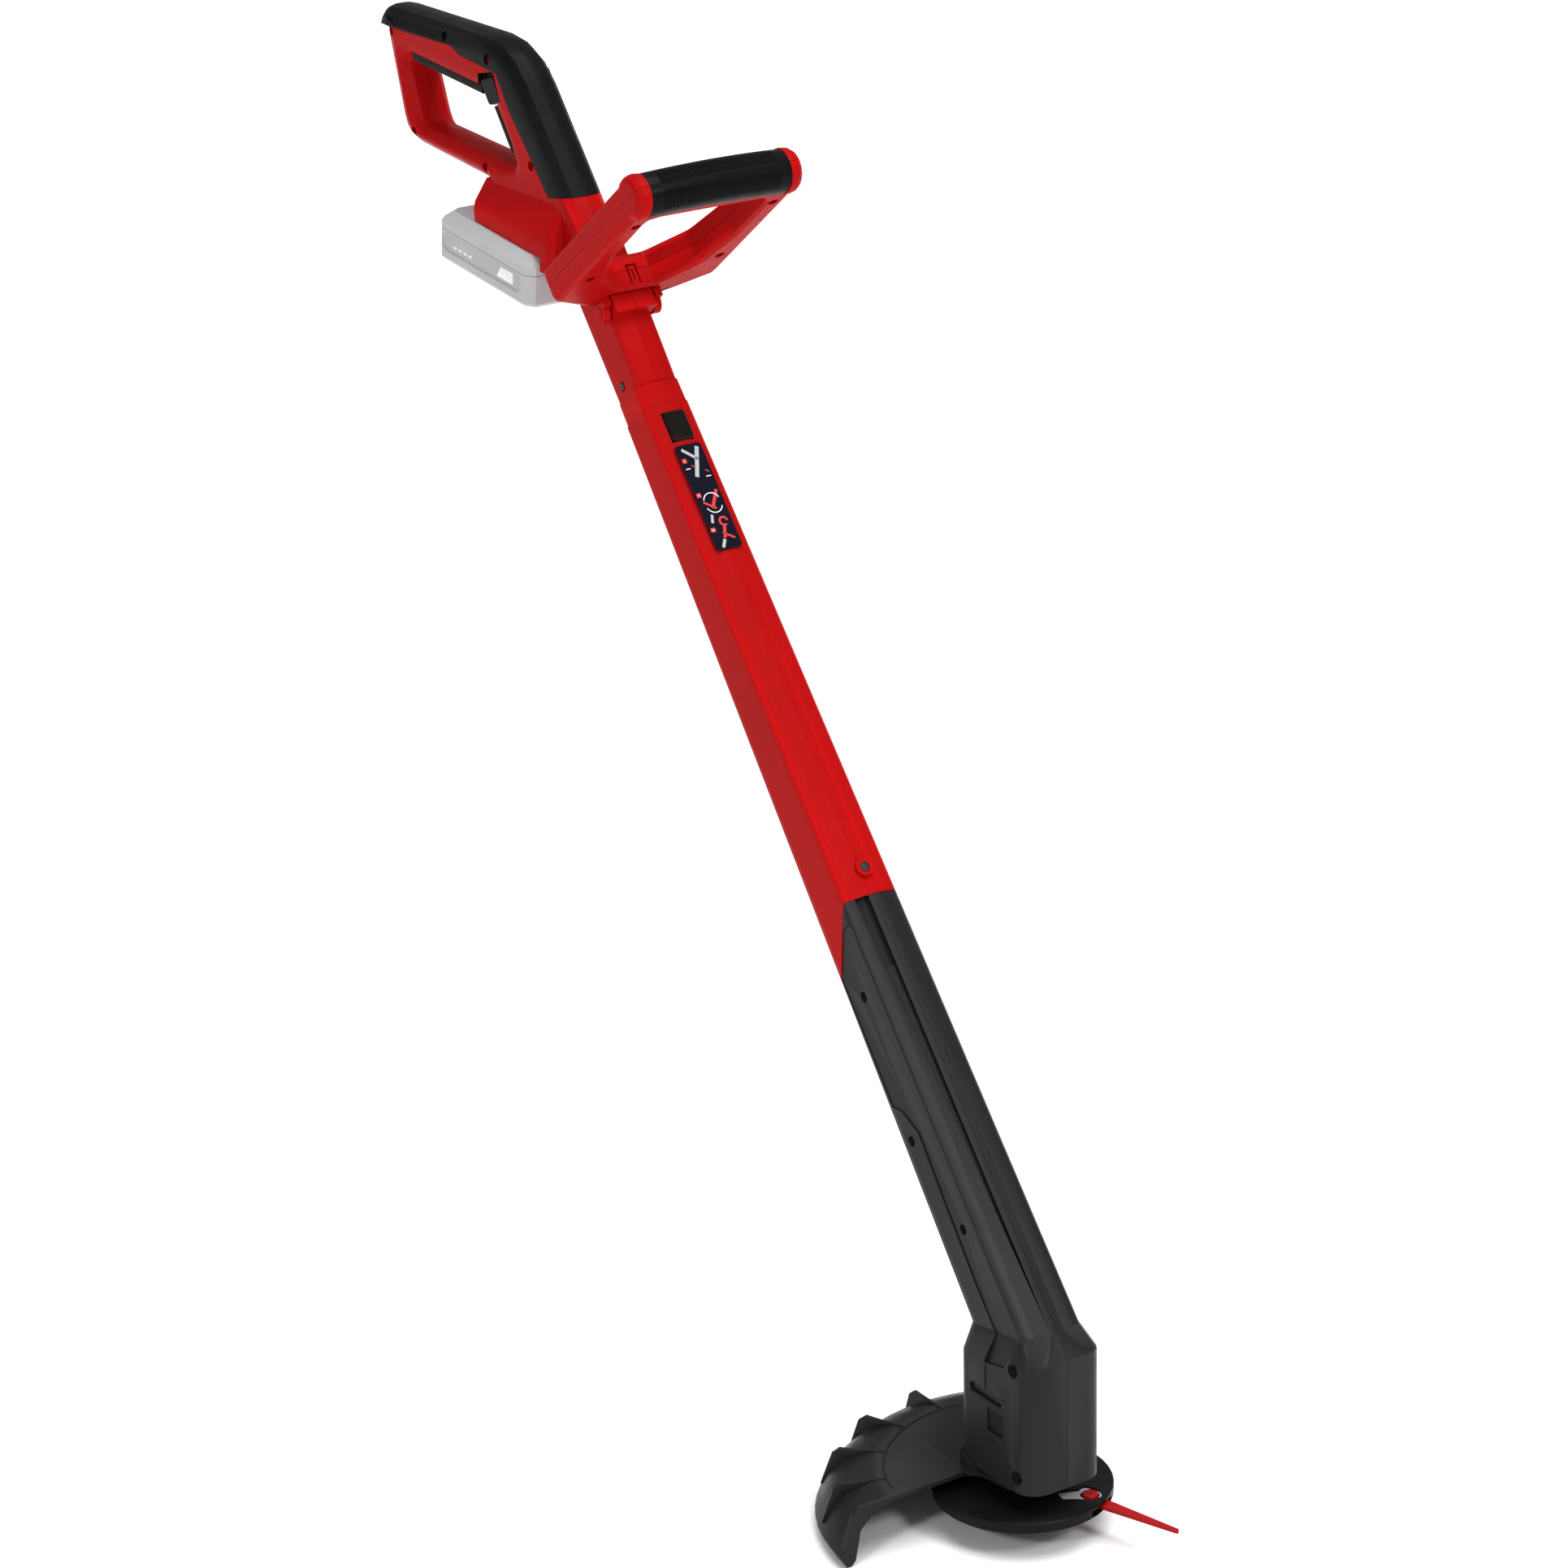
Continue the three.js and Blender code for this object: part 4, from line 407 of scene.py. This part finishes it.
def soften(piece, width=0.5, angle=32, segments=2, weld=True):
    """Joins the faces that lie in one plane, rounds the sharp edges, and shades the rest smooth."""
    if weld:
        piece.modifiers.new("weld", "WELD").merge_threshold = 0.00002
        flat = piece.modifiers.new("flat", "DECIMATE")
        flat.decimate_type = "DISSOLVE"
        flat.angle_limit = math.radians(0.6)
    bevel = piece.modifiers.new("round", "BEVEL")
    bevel.width = width * MM
    bevel.segments = segments
    bevel.limit_method = "ANGLE"
    bevel.angle_limit = math.radians(angle)
    bevel.harden_normals = False
    bevel.miter_outer = "MITER_ARC"
    smooth = piece.modifiers.new("normals", "WEIGHTED_NORMAL")
    smooth.keep_sharp = False
    smooth.weight = 80
    for polygon in piece.data.polygons if piece.name not in NODES else []:
        polygon.use_smooth = True


def carved(node, cutters):
    """A clean copy of a CAD node's mesh with the cutters taken out of it, as a bmesh."""
    bm = bmesh.new()
    bm.from_mesh(NODES[node].data)
    bmesh.ops.remove_doubles(bm, verts=bm.verts, dist=0.00002)
    mesh = bpy.data.meshes.new(node + "_work")
    bm.to_mesh(mesh)
    bm.free()
    work = bpy.data.objects.new(node + "_work", mesh)
    bpy.context.scene.collection.objects.link(work)
    tools = []
    for number, cutter in enumerate(cutters):
        bmesh.ops.recalc_face_normals(cutter, faces=cutter.faces)
        tool_mesh = bpy.data.meshes.new(f"{node}_tool{number}")
        cutter.to_mesh(tool_mesh)
        cutter.free()
        tool = bpy.data.objects.new(f"{node}_tool{number}", tool_mesh)
        bpy.context.scene.collection.objects.link(tool)
        step = work.modifiers.new("cut", "BOOLEAN")
        step.operation = "DIFFERENCE"
        step.solver = "EXACT"
        step.object = tool
        tools.append(tool)
    shaped = work.evaluated_get(bpy.context.evaluated_depsgraph_get())
    result = bmesh.new()
    result.from_mesh(shaped.to_mesh())
    shaped.to_mesh_clear()
    for helper in [work, *tools]:
        mesh = helper.data
        bpy.data.objects.remove(helper)
        bpy.data.meshes.remove(mesh)
    bmesh.ops.remove_doubles(result, verts=result.verts, dist=0.00001)
    bmesh.ops.dissolve_degenerate(result, edges=result.edges, dist=0.00001)
    for face in result.faces:
        face.smooth = True
    return result


def block(place, outline, floor, outer):
    """A cutter over an outline; floor and outer give the third coordinate of its two ends at each corner."""
    bm = bmesh.new()
    add_prism(bm, [place(p, q, floor(p, q)) for p, q in outline], [place(p, q, outer(p, q)) for p, q in outline])
    return bm


# ---------------------------------------------------------------- lower housing
PANEL_DEPTH = 0.9
PANEL_OUTLINE = [  # (a, s) round the sunken part of the shaft's side
    (-9.5, 242),
    (-45, 242),
    (-46.5, 122),
    (-38, 116),
    (-28.5, 97),
    (-31, 50),
    (-33.5, -12),
    (-33.5, -44),
    (-9.5, -62),
]
POCKET_OUTLINE = [(5.5, 128.5), (1.7, 106), (23.5, 110.5), (31.5, 132)]  # (x, z) on the head's shoulder
POCKET_FLOOR = [(4.9, 127.4), (1.2, 106), (24, 110.2), (31.6, 130.6)]
STEP_OUTLINE = [(1.7, 86), (24, 86), (24, 104.5), (1.7, 104.5)]
SLOT_CENTRE = (3, 83)
SLOT_HALF_LENGTH = 18
SLOT_HALF_HEIGHT = 3.6
RECESSES = [(32.5, 112.3), (36, 34.9)]  # round screw recesses on the head
RECESS_RADIUS = 5
WINDOW_OUTLINE = [(4.4, 57.5), (21, 57.5), (21, 74.5), (4.4, 74.5)]


def pocket_depth(x, z):
    return 2.3 if z < 115 else 8.5


def side_place(side):
    return lambda a, s, depth: on_shaft(a, side * (shaft_half_width(s) - depth), s)


def head_place(side):
    return lambda x, z, depth: world(x, side * (32 - depth), z)


def capsule(centre, half_length, half_height, steps=6):
    points = []
    for end in (1, -1):
        for i in range(steps + 1):
            angle = math.pi * (i / steps - 0.5)
            points.append(
                (
                    centre[0] + end * (half_length - half_height) + end * half_height * math.cos(angle),
                    centre[1] + end * half_height * math.sin(angle),
                )
            )
    return points


def housing(side, node):
    shaft, head = side_place(side), head_place(side)
    cutters = [
        block(shaft, PANEL_OUTLINE, lambda a, s: PANEL_DEPTH, lambda a, s: -12),
        block(head, POCKET_OUTLINE, pocket_depth, lambda x, z: -6),
        block(head, STEP_OUTLINE, lambda x, z: 0.6, lambda x, z: -6),
        block(head, capsule(SLOT_CENTRE, SLOT_HALF_LENGTH, SLOT_HALF_HEIGHT), lambda x, z: 2.0, lambda x, z: -6),
        block(head, WINDOW_OUTLINE, lambda x, z: 0.5 if z > 60 else 1.9, lambda x, z: -6),
    ]
    if side < 0:
        for x, z in RECESSES:
            circle = [
                (x + RECESS_RADIUS * math.cos(TURN * i / 24), z + RECESS_RADIUS * math.sin(TURN * i / 24))
                for i in range(24)
            ]
            cutters.append(block(head, circle, lambda x, z: 2.4, lambda x, z: -12))
    bm = carved(node, cutters)
    piece = piece_from(bm, node + "_shell", "frame", [MATERIALS["dark_plastic"]], True, 0.3)
    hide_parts(node)
    floor = block(head, POCKET_FLOOR, lambda x, z: pocket_depth(x, z) + 1.2, pocket_depth)
    name = "pocket_floor_right" if side < 0 else "pocket_floor_left"
    piece_from(floor, name, "frame", [MATERIALS["dark_plastic"]])


def lip(side):
    """The two rolled lips under the cooling slot."""
    bm = bmesh.new()
    for x_low, x_high in ((-14.5, 0.4), (4.6, 20)):
        for z, radius in ((78.6, 1.3),):
            ring = [TURN * i / 12 for i in range(12)]
            rows = [
                [world(x, side * (31.7 + scale * radius * math.cos(t)), z + scale * radius * math.sin(t)) for t in ring]
                for x, scale in (
                    (x_low - 1.2, 0.3),
                    (x_low - 0.8, 0.75),
                    (x_low, 1),
                    (x_high, 1),
                    (x_high + 0.8, 0.75),
                    (x_high + 1.2, 0.3),
                )
            ]
            add_rings(bm, rows)
    name = "slot_lip_right" if side < 0 else "slot_lip_left"
    piece_from(bm, name, "frame", [MATERIALS["dark_plastic"]])


def side_of(node):
    low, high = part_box(node)
    return 1 if low[1] + high[1] > 0 else -1


for name in ("lower_housing_right", "lower_housing_left"):
    housing(side_of(name), name)
for side in (-1, 1):
    lip(side)


# ---------------------------------------------------------------- battery
def battery_panel(side):
    place = lambda x, z, depth: on_battery(x, side * (38 - depth), z)
    outline = [(-57, -19), (-50, -14.2), (47, -14.2), (51, -17), (51, -25), (47, -28.5), (-50, -28.5), (-57, -25)]
    return block(place, outline, lambda x, z: 1.2, lambda x, z: -6)


def battery():
    base = carved("battery_base", [battery_panel(-1), battery_panel(1)])
    shell = piece_from(
        base, "battery_base_shell", "battery", [MATERIALS["battery_plastic"]], weld=True
    )
    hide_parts("battery_base")
    for side in (-1, 1):
        bm = bmesh.new()
        plate = [(18, -25.6), (40, -25.6), (40, -17), (24, -17)]
        add_prism(
            bm,
            [on_battery(x, side * 36.7, z) for x, z in plate],
            [on_battery(x, side * 37.1, z) for x, z in plate],
        )
        name = "charge_window_right" if side < 0 else "charge_window_left"
        piece_from(bm, name, "battery", [PALE_FILM])
        bm = bmesh.new()
        for x in (-42, -35, -28, -21):
            bar = [(x, -24.4), (x + 4.4, -24.4), (x + 4.4, -22.6), (x, -22.6)]
            add_prism(
                bm,
                [on_battery(px, side * 36.7, pz) for px, pz in bar],
                [on_battery(px, side * 37.0, pz) for px, pz in bar],
            )
        name = "charge_marks_right" if side < 0 else "charge_marks_left"
        piece_from(bm, name, "battery", [PALE_FILM])


battery()


# ---------------------------------------------------------------- front grip
GRIP_A = 153
GRIP_ARCH = 4
GRIP_RADIUS = 15
GRIP_CORE = 10.9
GRIP_HALF = 55
RIB_PITCH = 2.1
RIB_REACH = 45.5
RIB_DEPTH = 1.1
RIB_BANDS = (22, -45, 155, -135)  # degrees round the bar
RIB_BAND_HALF = 25


def ease(value):
    value = max(0.0, min(1.0, value))
    return value * value * (3 - 2 * value)


def front_grip():
    around = 96
    step = 0.3
    count = round(2 * GRIP_HALF / step)
    rings = []

    def ring(y, radius_at):
        bow = GRIP_A + GRIP_ARCH * (1 - (y / GRIP_HALF) ** 2)
        slope = -2 * GRIP_ARCH * y / GRIP_HALF**2
        points = []
        for i in range(around):
            turn = TURN * i / around
            radius = radius_at(math.degrees(turn))
            out = radius * math.cos(turn)
            points.append(on_front(bow + out, y - out * slope, radius * math.sin(turn)))
        return points

    def band(degrees):
        best = 0.0
        for centre in RIB_BANDS:
            away = abs((degrees - centre + 180) % 360 - 180)
            best = max(best, ease((RIB_BAND_HALF - away) / 3))
        return best

    def skin(y):
        wave = 0.5 + 0.5 * math.cos(TURN * y / RIB_PITCH)
        reach = ease((RIB_REACH - abs(y)) / 1.0)
        end = ease((GRIP_HALF - abs(y)) / 1.2)
        groove = ease((wave - 0.25) / 0.5)
        return lambda degrees: GRIP_RADIUS - 0.9 * (1 - end) - RIB_DEPTH * groove * reach * band(degrees)

    rings.append(ring(-GRIP_HALF, lambda degrees: GRIP_CORE))
    for i in range(count + 1):
        y = -GRIP_HALF + i * step
        rings.append(ring(y, skin(y)))
    rings.append(ring(GRIP_HALF, lambda degrees: GRIP_CORE))
    bm = bmesh.new()
    add_rings(bm, rings, closed=True)
    bmesh.ops.recalc_face_normals(bm, faces=bm.faces)
    mesh = bpy.data.meshes.new("front_grip_sleeve")
    bm.to_mesh(mesh)
    bm.free()
    mesh.materials.append(MATERIALS["rubber"])
    for polygon in mesh.polygons:
        polygon.use_smooth = True
    piece = bpy.data.objects.new("front_grip_sleeve", mesh)
    bpy.context.scene.collection.objects.link(piece)
    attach(piece, "front_handle")
    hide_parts("front_grip")


front_grip()


# ---------------------------------------------------------------- label marks
LABEL_A = 0.78
MARK_TOPS = (0.92, 0.98, 0.95)  # grey, white and red ink lie in layers, so none fights for a place


def mark(bm, points, index):
    """A printed patch, given round its outline in (y, s)."""
    first = len(bm.faces)
    area = sum(p[0] * q[1] - q[0] * p[1] for p, q in zip(points, points[1:] + points[:1]))
    ring = points if area > 0 else list(reversed(points))
    add_prism(bm, [on_shaft(LABEL_A, y, s) for y, s in ring], [on_shaft(MARK_TOPS[index], y, s) for y, s in ring])
    bm.faces.ensure_lookup_table()
    for face in bm.faces[first:]:
        face.material_index = index


def bar(start, end, width):
    along = Vector((end[0] - start[0], end[1] - start[1])).normalized() * width / 2
    side = Vector((-along.y, along.x))
    return [
        (start[0] + side.x, start[1] + side.y),
        (end[0] + side.x, end[1] + side.y),
        (end[0] - side.x, end[1] - side.y),
        (start[0] - side.x, start[1] - side.y),
    ]


def square(centre, half):
    y, s = centre
    return [(y - half, s - half), (y + half, s - half), (y + half, s + half), (y - half, s + half)]


def arc(centre, radius, width, start, end, steps=12):
    turns = [math.radians(start + (end - start) * i / steps) for i in range(steps + 1)]
    outer = [(centre[0] + (radius + width / 2) * math.cos(t), centre[1] + (radius + width / 2) * math.sin(t)) for t in turns]
    inner = [(centre[0] + (radius - width / 2) * math.cos(t), centre[1] + (radius - width / 2) * math.sin(t)) for t in turns]
    return outer + list(reversed(inner))


def label_marks():
    grey, white, red = 0, 1, 2
    bm = bmesh.new()
    for number, top in enumerate((583.5, 557, 530.5), start=1):
        mark(bm, square((-7.2, top), 1.7), red)
        for dot in range(number):
            mark(bm, square((-7.2 + (dot - (number - 1) / 2) * 1.1, top), 0.35), white)
    mark(bm, bar((-6, 592), (4, 583), 2.2), grey)
    mark(bm, bar((6.6, 592.5), (-2.5, 570.5), 3.0), grey)
    mark(bm, bar((-3.4, 579.5), (-0.8, 577.7), 0.8), red)
    mark(bm, bar((5.6, 574.5), (8.2, 572.7), 0.8), red)
    mark(bm, bar((-8.6, 577.4), (-4.9, 577.4), 0.7), white)
    mark(bm, bar((4.4, 569.6), (8.4, 569.6), 0.7), white)
    mark(bm, arc((1.2, 551), 6.4, 0.7, 20, 165), white)
    mark(bm, arc((1.2, 549), 6.4, 0.7, 200, 340), white)
    mark(bm, bar((7.6, 559), (-0.6, 546), 2.4), red)
    mark(bm, bar((-6, 551.5), (2.4, 545.5), 1.5), red)
    mark(bm, bar((-3.4, 541.5), (-5.4, 535.5), 2.0), grey)
    mark(bm, arc((3.4, 535.5), 3.0, 1.5, 0, 300), red)
    mark(bm, bar((2.6, 532), (-0.6, 523.5), 2.2), red)
    mark(bm, bar((-0.8, 527.5), (7.0, 522), 1.5), red)
    mark(bm, bar((-1.2, 522.5), (-4.8, 516.8), 2.2), grey)
    bmesh.ops.recalc_face_normals(bm, faces=bm.faces)
    mesh = bpy.data.meshes.new("label_marks")
    bm.to_mesh(mesh)
    bm.free()
    for colour in ("grey", "white", "red"):
        mesh.materials.append(PRINT[colour])
    piece = bpy.data.objects.new("label_marks", mesh)
    bpy.context.scene.collection.objects.link(piece)
    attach(piece, "frame")


label_marks()


# ---------------------------------------------------------------- cutting head
def cutting_head_details():
    """The plate that shows through the disc's window, and the red cap on the blade's eye."""
    post = (41.5, 25.0)
    bm = bmesh.new()
    ring = [TURN * i / 32 for i in range(32)]
    centre = (34.0, 17.8)
    rows = [
        [world(middle[0] + radius * math.cos(t), middle[1] + radius * math.sin(t), z) for t in ring]
        for middle, radius, z in ((centre, 21, 5.9), (centre, 21, 6.4), (post, 6.6, 6.4), (post, 6.6, 5.9))
    ]
    add_rings(bm, rows, closed=True)
    piece_from(bm, "window_plate", "cutting_head", [MATERIALS["plate"]])
    bm = bmesh.new()
    profile = ((5.6, 5.3), (5.6, 7.4), (5.0, 7.9), (4.2, 7.9), (3.8, 7.5), (0.8, 7.5), (0.8, 7.2), (3.3, 7.2), (3.3, 5.3))
    rows = [
        [world(post[0] + radius * math.cos(t), post[1] + radius * math.sin(t), z) for t in ring]
        for radius, z in profile
    ]
    add_rings(bm, rows, closed=True)
    piece_from(bm, "blade_eye_cap", "blade", [MATERIALS["blade_red"]])


cutting_head_details()


# ---------------------------------------------------------------- trigger
PADDLE = [
    (-614.5, 850.2),
    (-615.3, 852.0),
    (-614.2, 853.2),
    (-599.3, 858.1),
    (-597.3, 858.0),
    (-596.0, 856.6),
    (-589.4, 844.6),
    (-589.2, 842.9),
    (-590.8, 841.3),
    (-601.6, 837.1),
    (-603.9, 836.6),
    (-605.8, 837.9),
]
SKIRT = [(-616.3, 852.6), (-616.3, 856.4), (-605.5, 858.7), (-600, 858.4)]


def trigger_faces():
    """The paddle's wide faces in the handle's notches, and the skirt behind its top edge."""
    bm = bmesh.new()
    middle = sum((Vector(p) for p in PADDLE), Vector((0, 0))) / len(PADDLE)
    rows = []
    for y, scale in ((-16.2, 0.9), (-15.6, 0.97), (-14.6, 1), (14.6, 1), (15.6, 0.97), (16.2, 0.9)):
        points = [middle + (Vector(p) - middle) * scale for p in PADDLE]
        rows.append([world(p.x, y, p.y) for p in points])
    add_rings(bm, rows)
    add_prism(bm, [world(x, -12.1, z) for x, z in SKIRT], [world(x, 12.1, z) for x, z in SKIRT])
    piece_from(bm, "trigger_faces", "trigger", [MATERIALS["black_plastic"]])


NOTCH_TRIM = [
    (-617.05, 849.5),
    (-617.05, 857.45),
    (-596.8, 861.65),
    (-594.55, 860.45),
    (-594.8, 860.1),
    (-596.85, 861.2),
    (-616.6, 857.1),
    (-616.6, 849.5),
]


def notch_trim():
    """A thin dark trim on the rear and top edges of the trigger's notches."""
    bm = bmesh.new()
    for inner, outer in ((-12.2, -16.8), (12.2, 16.8)):
        add_prism(bm, [world(x, inner, z) for x, z in NOTCH_TRIM], [world(x, outer, z) for x, z in NOTCH_TRIM])
    piece_from(bm, "trigger_notch_trim", "rear_handle", [MATERIALS["black_plastic"]], width=0.1)


trigger_faces()
notch_trim()


# ---------------------------------------------------------------- guard
GUARD_TOP = 20.5
GUARD_STEP_RADIUS = 93
GUARD_RIBS = (157.5, 180, 202.5, 225, 247.5)  # degrees round the spindle


def on_guard(degrees, radius, z):
    turn = math.radians(degrees)
    return world(radius * math.cos(turn), radius * math.sin(turn), z)


def guard_top():
    """The low rounded step on the guard's top, and the ribs' inner ends running up to it."""
    bm = bmesh.new()
    section = ((-1.1, -0.4), (-0.9, 0.35), (-0.4, 0.65), (0.4, 0.65), (0.9, 0.35), (1.1, -0.4))
    angles = [139 + (256 - 139) * i / 60 for i in range(61)]
    rows = [[on_guard(t, GUARD_STEP_RADIUS + out, GUARD_TOP + up) for out, up in section] for t in angles]
    add_rings(bm, rows)
    for centre in GUARD_RIBS:
        rows = []
        for radius, up, half in ((92.6, 0.4, 0.5), (93.6, 1.0, 1.1), (104, 1.1, 1.2), (118, 0.4, 1.2)):
            swing = math.degrees(half / radius)
            narrow = 0.5 * swing
            low = -0.5 - max(0, radius - 101) * 0.38
            rows.append(
                [
                    on_guard(centre - swing, radius, GUARD_TOP + low),
                    on_guard(centre + swing, radius, GUARD_TOP + low),
                    on_guard(centre + swing, radius, GUARD_TOP + up - 0.3),
                    on_guard(centre + narrow, radius, GUARD_TOP + up),
                    on_guard(centre - narrow, radius, GUARD_TOP + up),
                    on_guard(centre - swing, radius, GUARD_TOP + up - 0.3),
                ]
            )
        add_rings(bm, rows)
    piece_from(bm, "guard_top_ribs", "frame", [MATERIALS["dark_plastic"]], width=0.15)


guard_top()


# ---------------------------------------------------------------- snap tab on the front handle
TAB_FACE = 22  # the face of the handle's root that carries the tab
TAB_SIDE = 3.4
TAB_LOW, TAB_HIGH = -11, 4
TAB_GAP = 1.6


def front_root(node):
    """The root of the folding handle with the slots round its springy tab."""
    place = lambda y, up, depth: on_front(TAB_FACE - depth, y, up)
    slots = [
        (-TAB_SIDE - TAB_GAP / 2, -TAB_SIDE + TAB_GAP / 2, TAB_LOW, TAB_HIGH),
        (TAB_SIDE - TAB_GAP / 2, TAB_SIDE + TAB_GAP / 2, TAB_LOW, TAB_HIGH),
        (-TAB_SIDE, TAB_SIDE, TAB_HIGH - TAB_GAP, TAB_HIGH),
        (-0.5, 0.5, TAB_LOW + 3, TAB_HIGH - 4),
    ]
    cutters = []
    for y_low, y_high, low, high in slots:
        outline = [(y_low, low), (y_high, low), (y_high, high), (y_low, high)]
        cutters.append(block(place, outline, lambda y, up: 1.6, lambda y, up: -4))
    bm = carved(node, cutters)
    piece = piece_from(bm, node + "_shell", "front_handle", [MATERIALS["red_plastic"]], True, 0.8)
    piece.modifiers["round"].angle_limit = math.radians(22)
    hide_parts(node)


for name in ("front_handle_lower", "front_handle_upper"):
    front_root(name)


# ---------------------------------------------------------------- CAD nodes that stay
SLOTS = {part["node"]: part["material_slot"] for part in frame["record"]["subparts"]}
SOFT_EDGES = {
    "main_tube": (0.5, 36),
    "soft_grip_right": (1.0, 20),
    "soft_grip_left": (1.0, 20),
    "handle_shell_right": (0.8, 20),
    "handle_shell_left": (0.8, 20),
    "guard": (0.5, 30),
    "battery_lid": (0.9, 30),
    "cutting_disc": (0.5, 40),
    "shaft_lock_button": (0.8, 40),
}


def dress_nodes():
    for name, node in NODES.items():
        slot = SLOTS.get(name)
        material = MATERIALS[slot or "dark_plastic"]
        if not node.material_slots:
            node.data.materials.append(material)
        for entry in node.material_slots:
            entry.material = material
        width, angle = SOFT_EDGES.get(name, (0.3, 36))
        soften(node, width, angle)


dress_nodes()
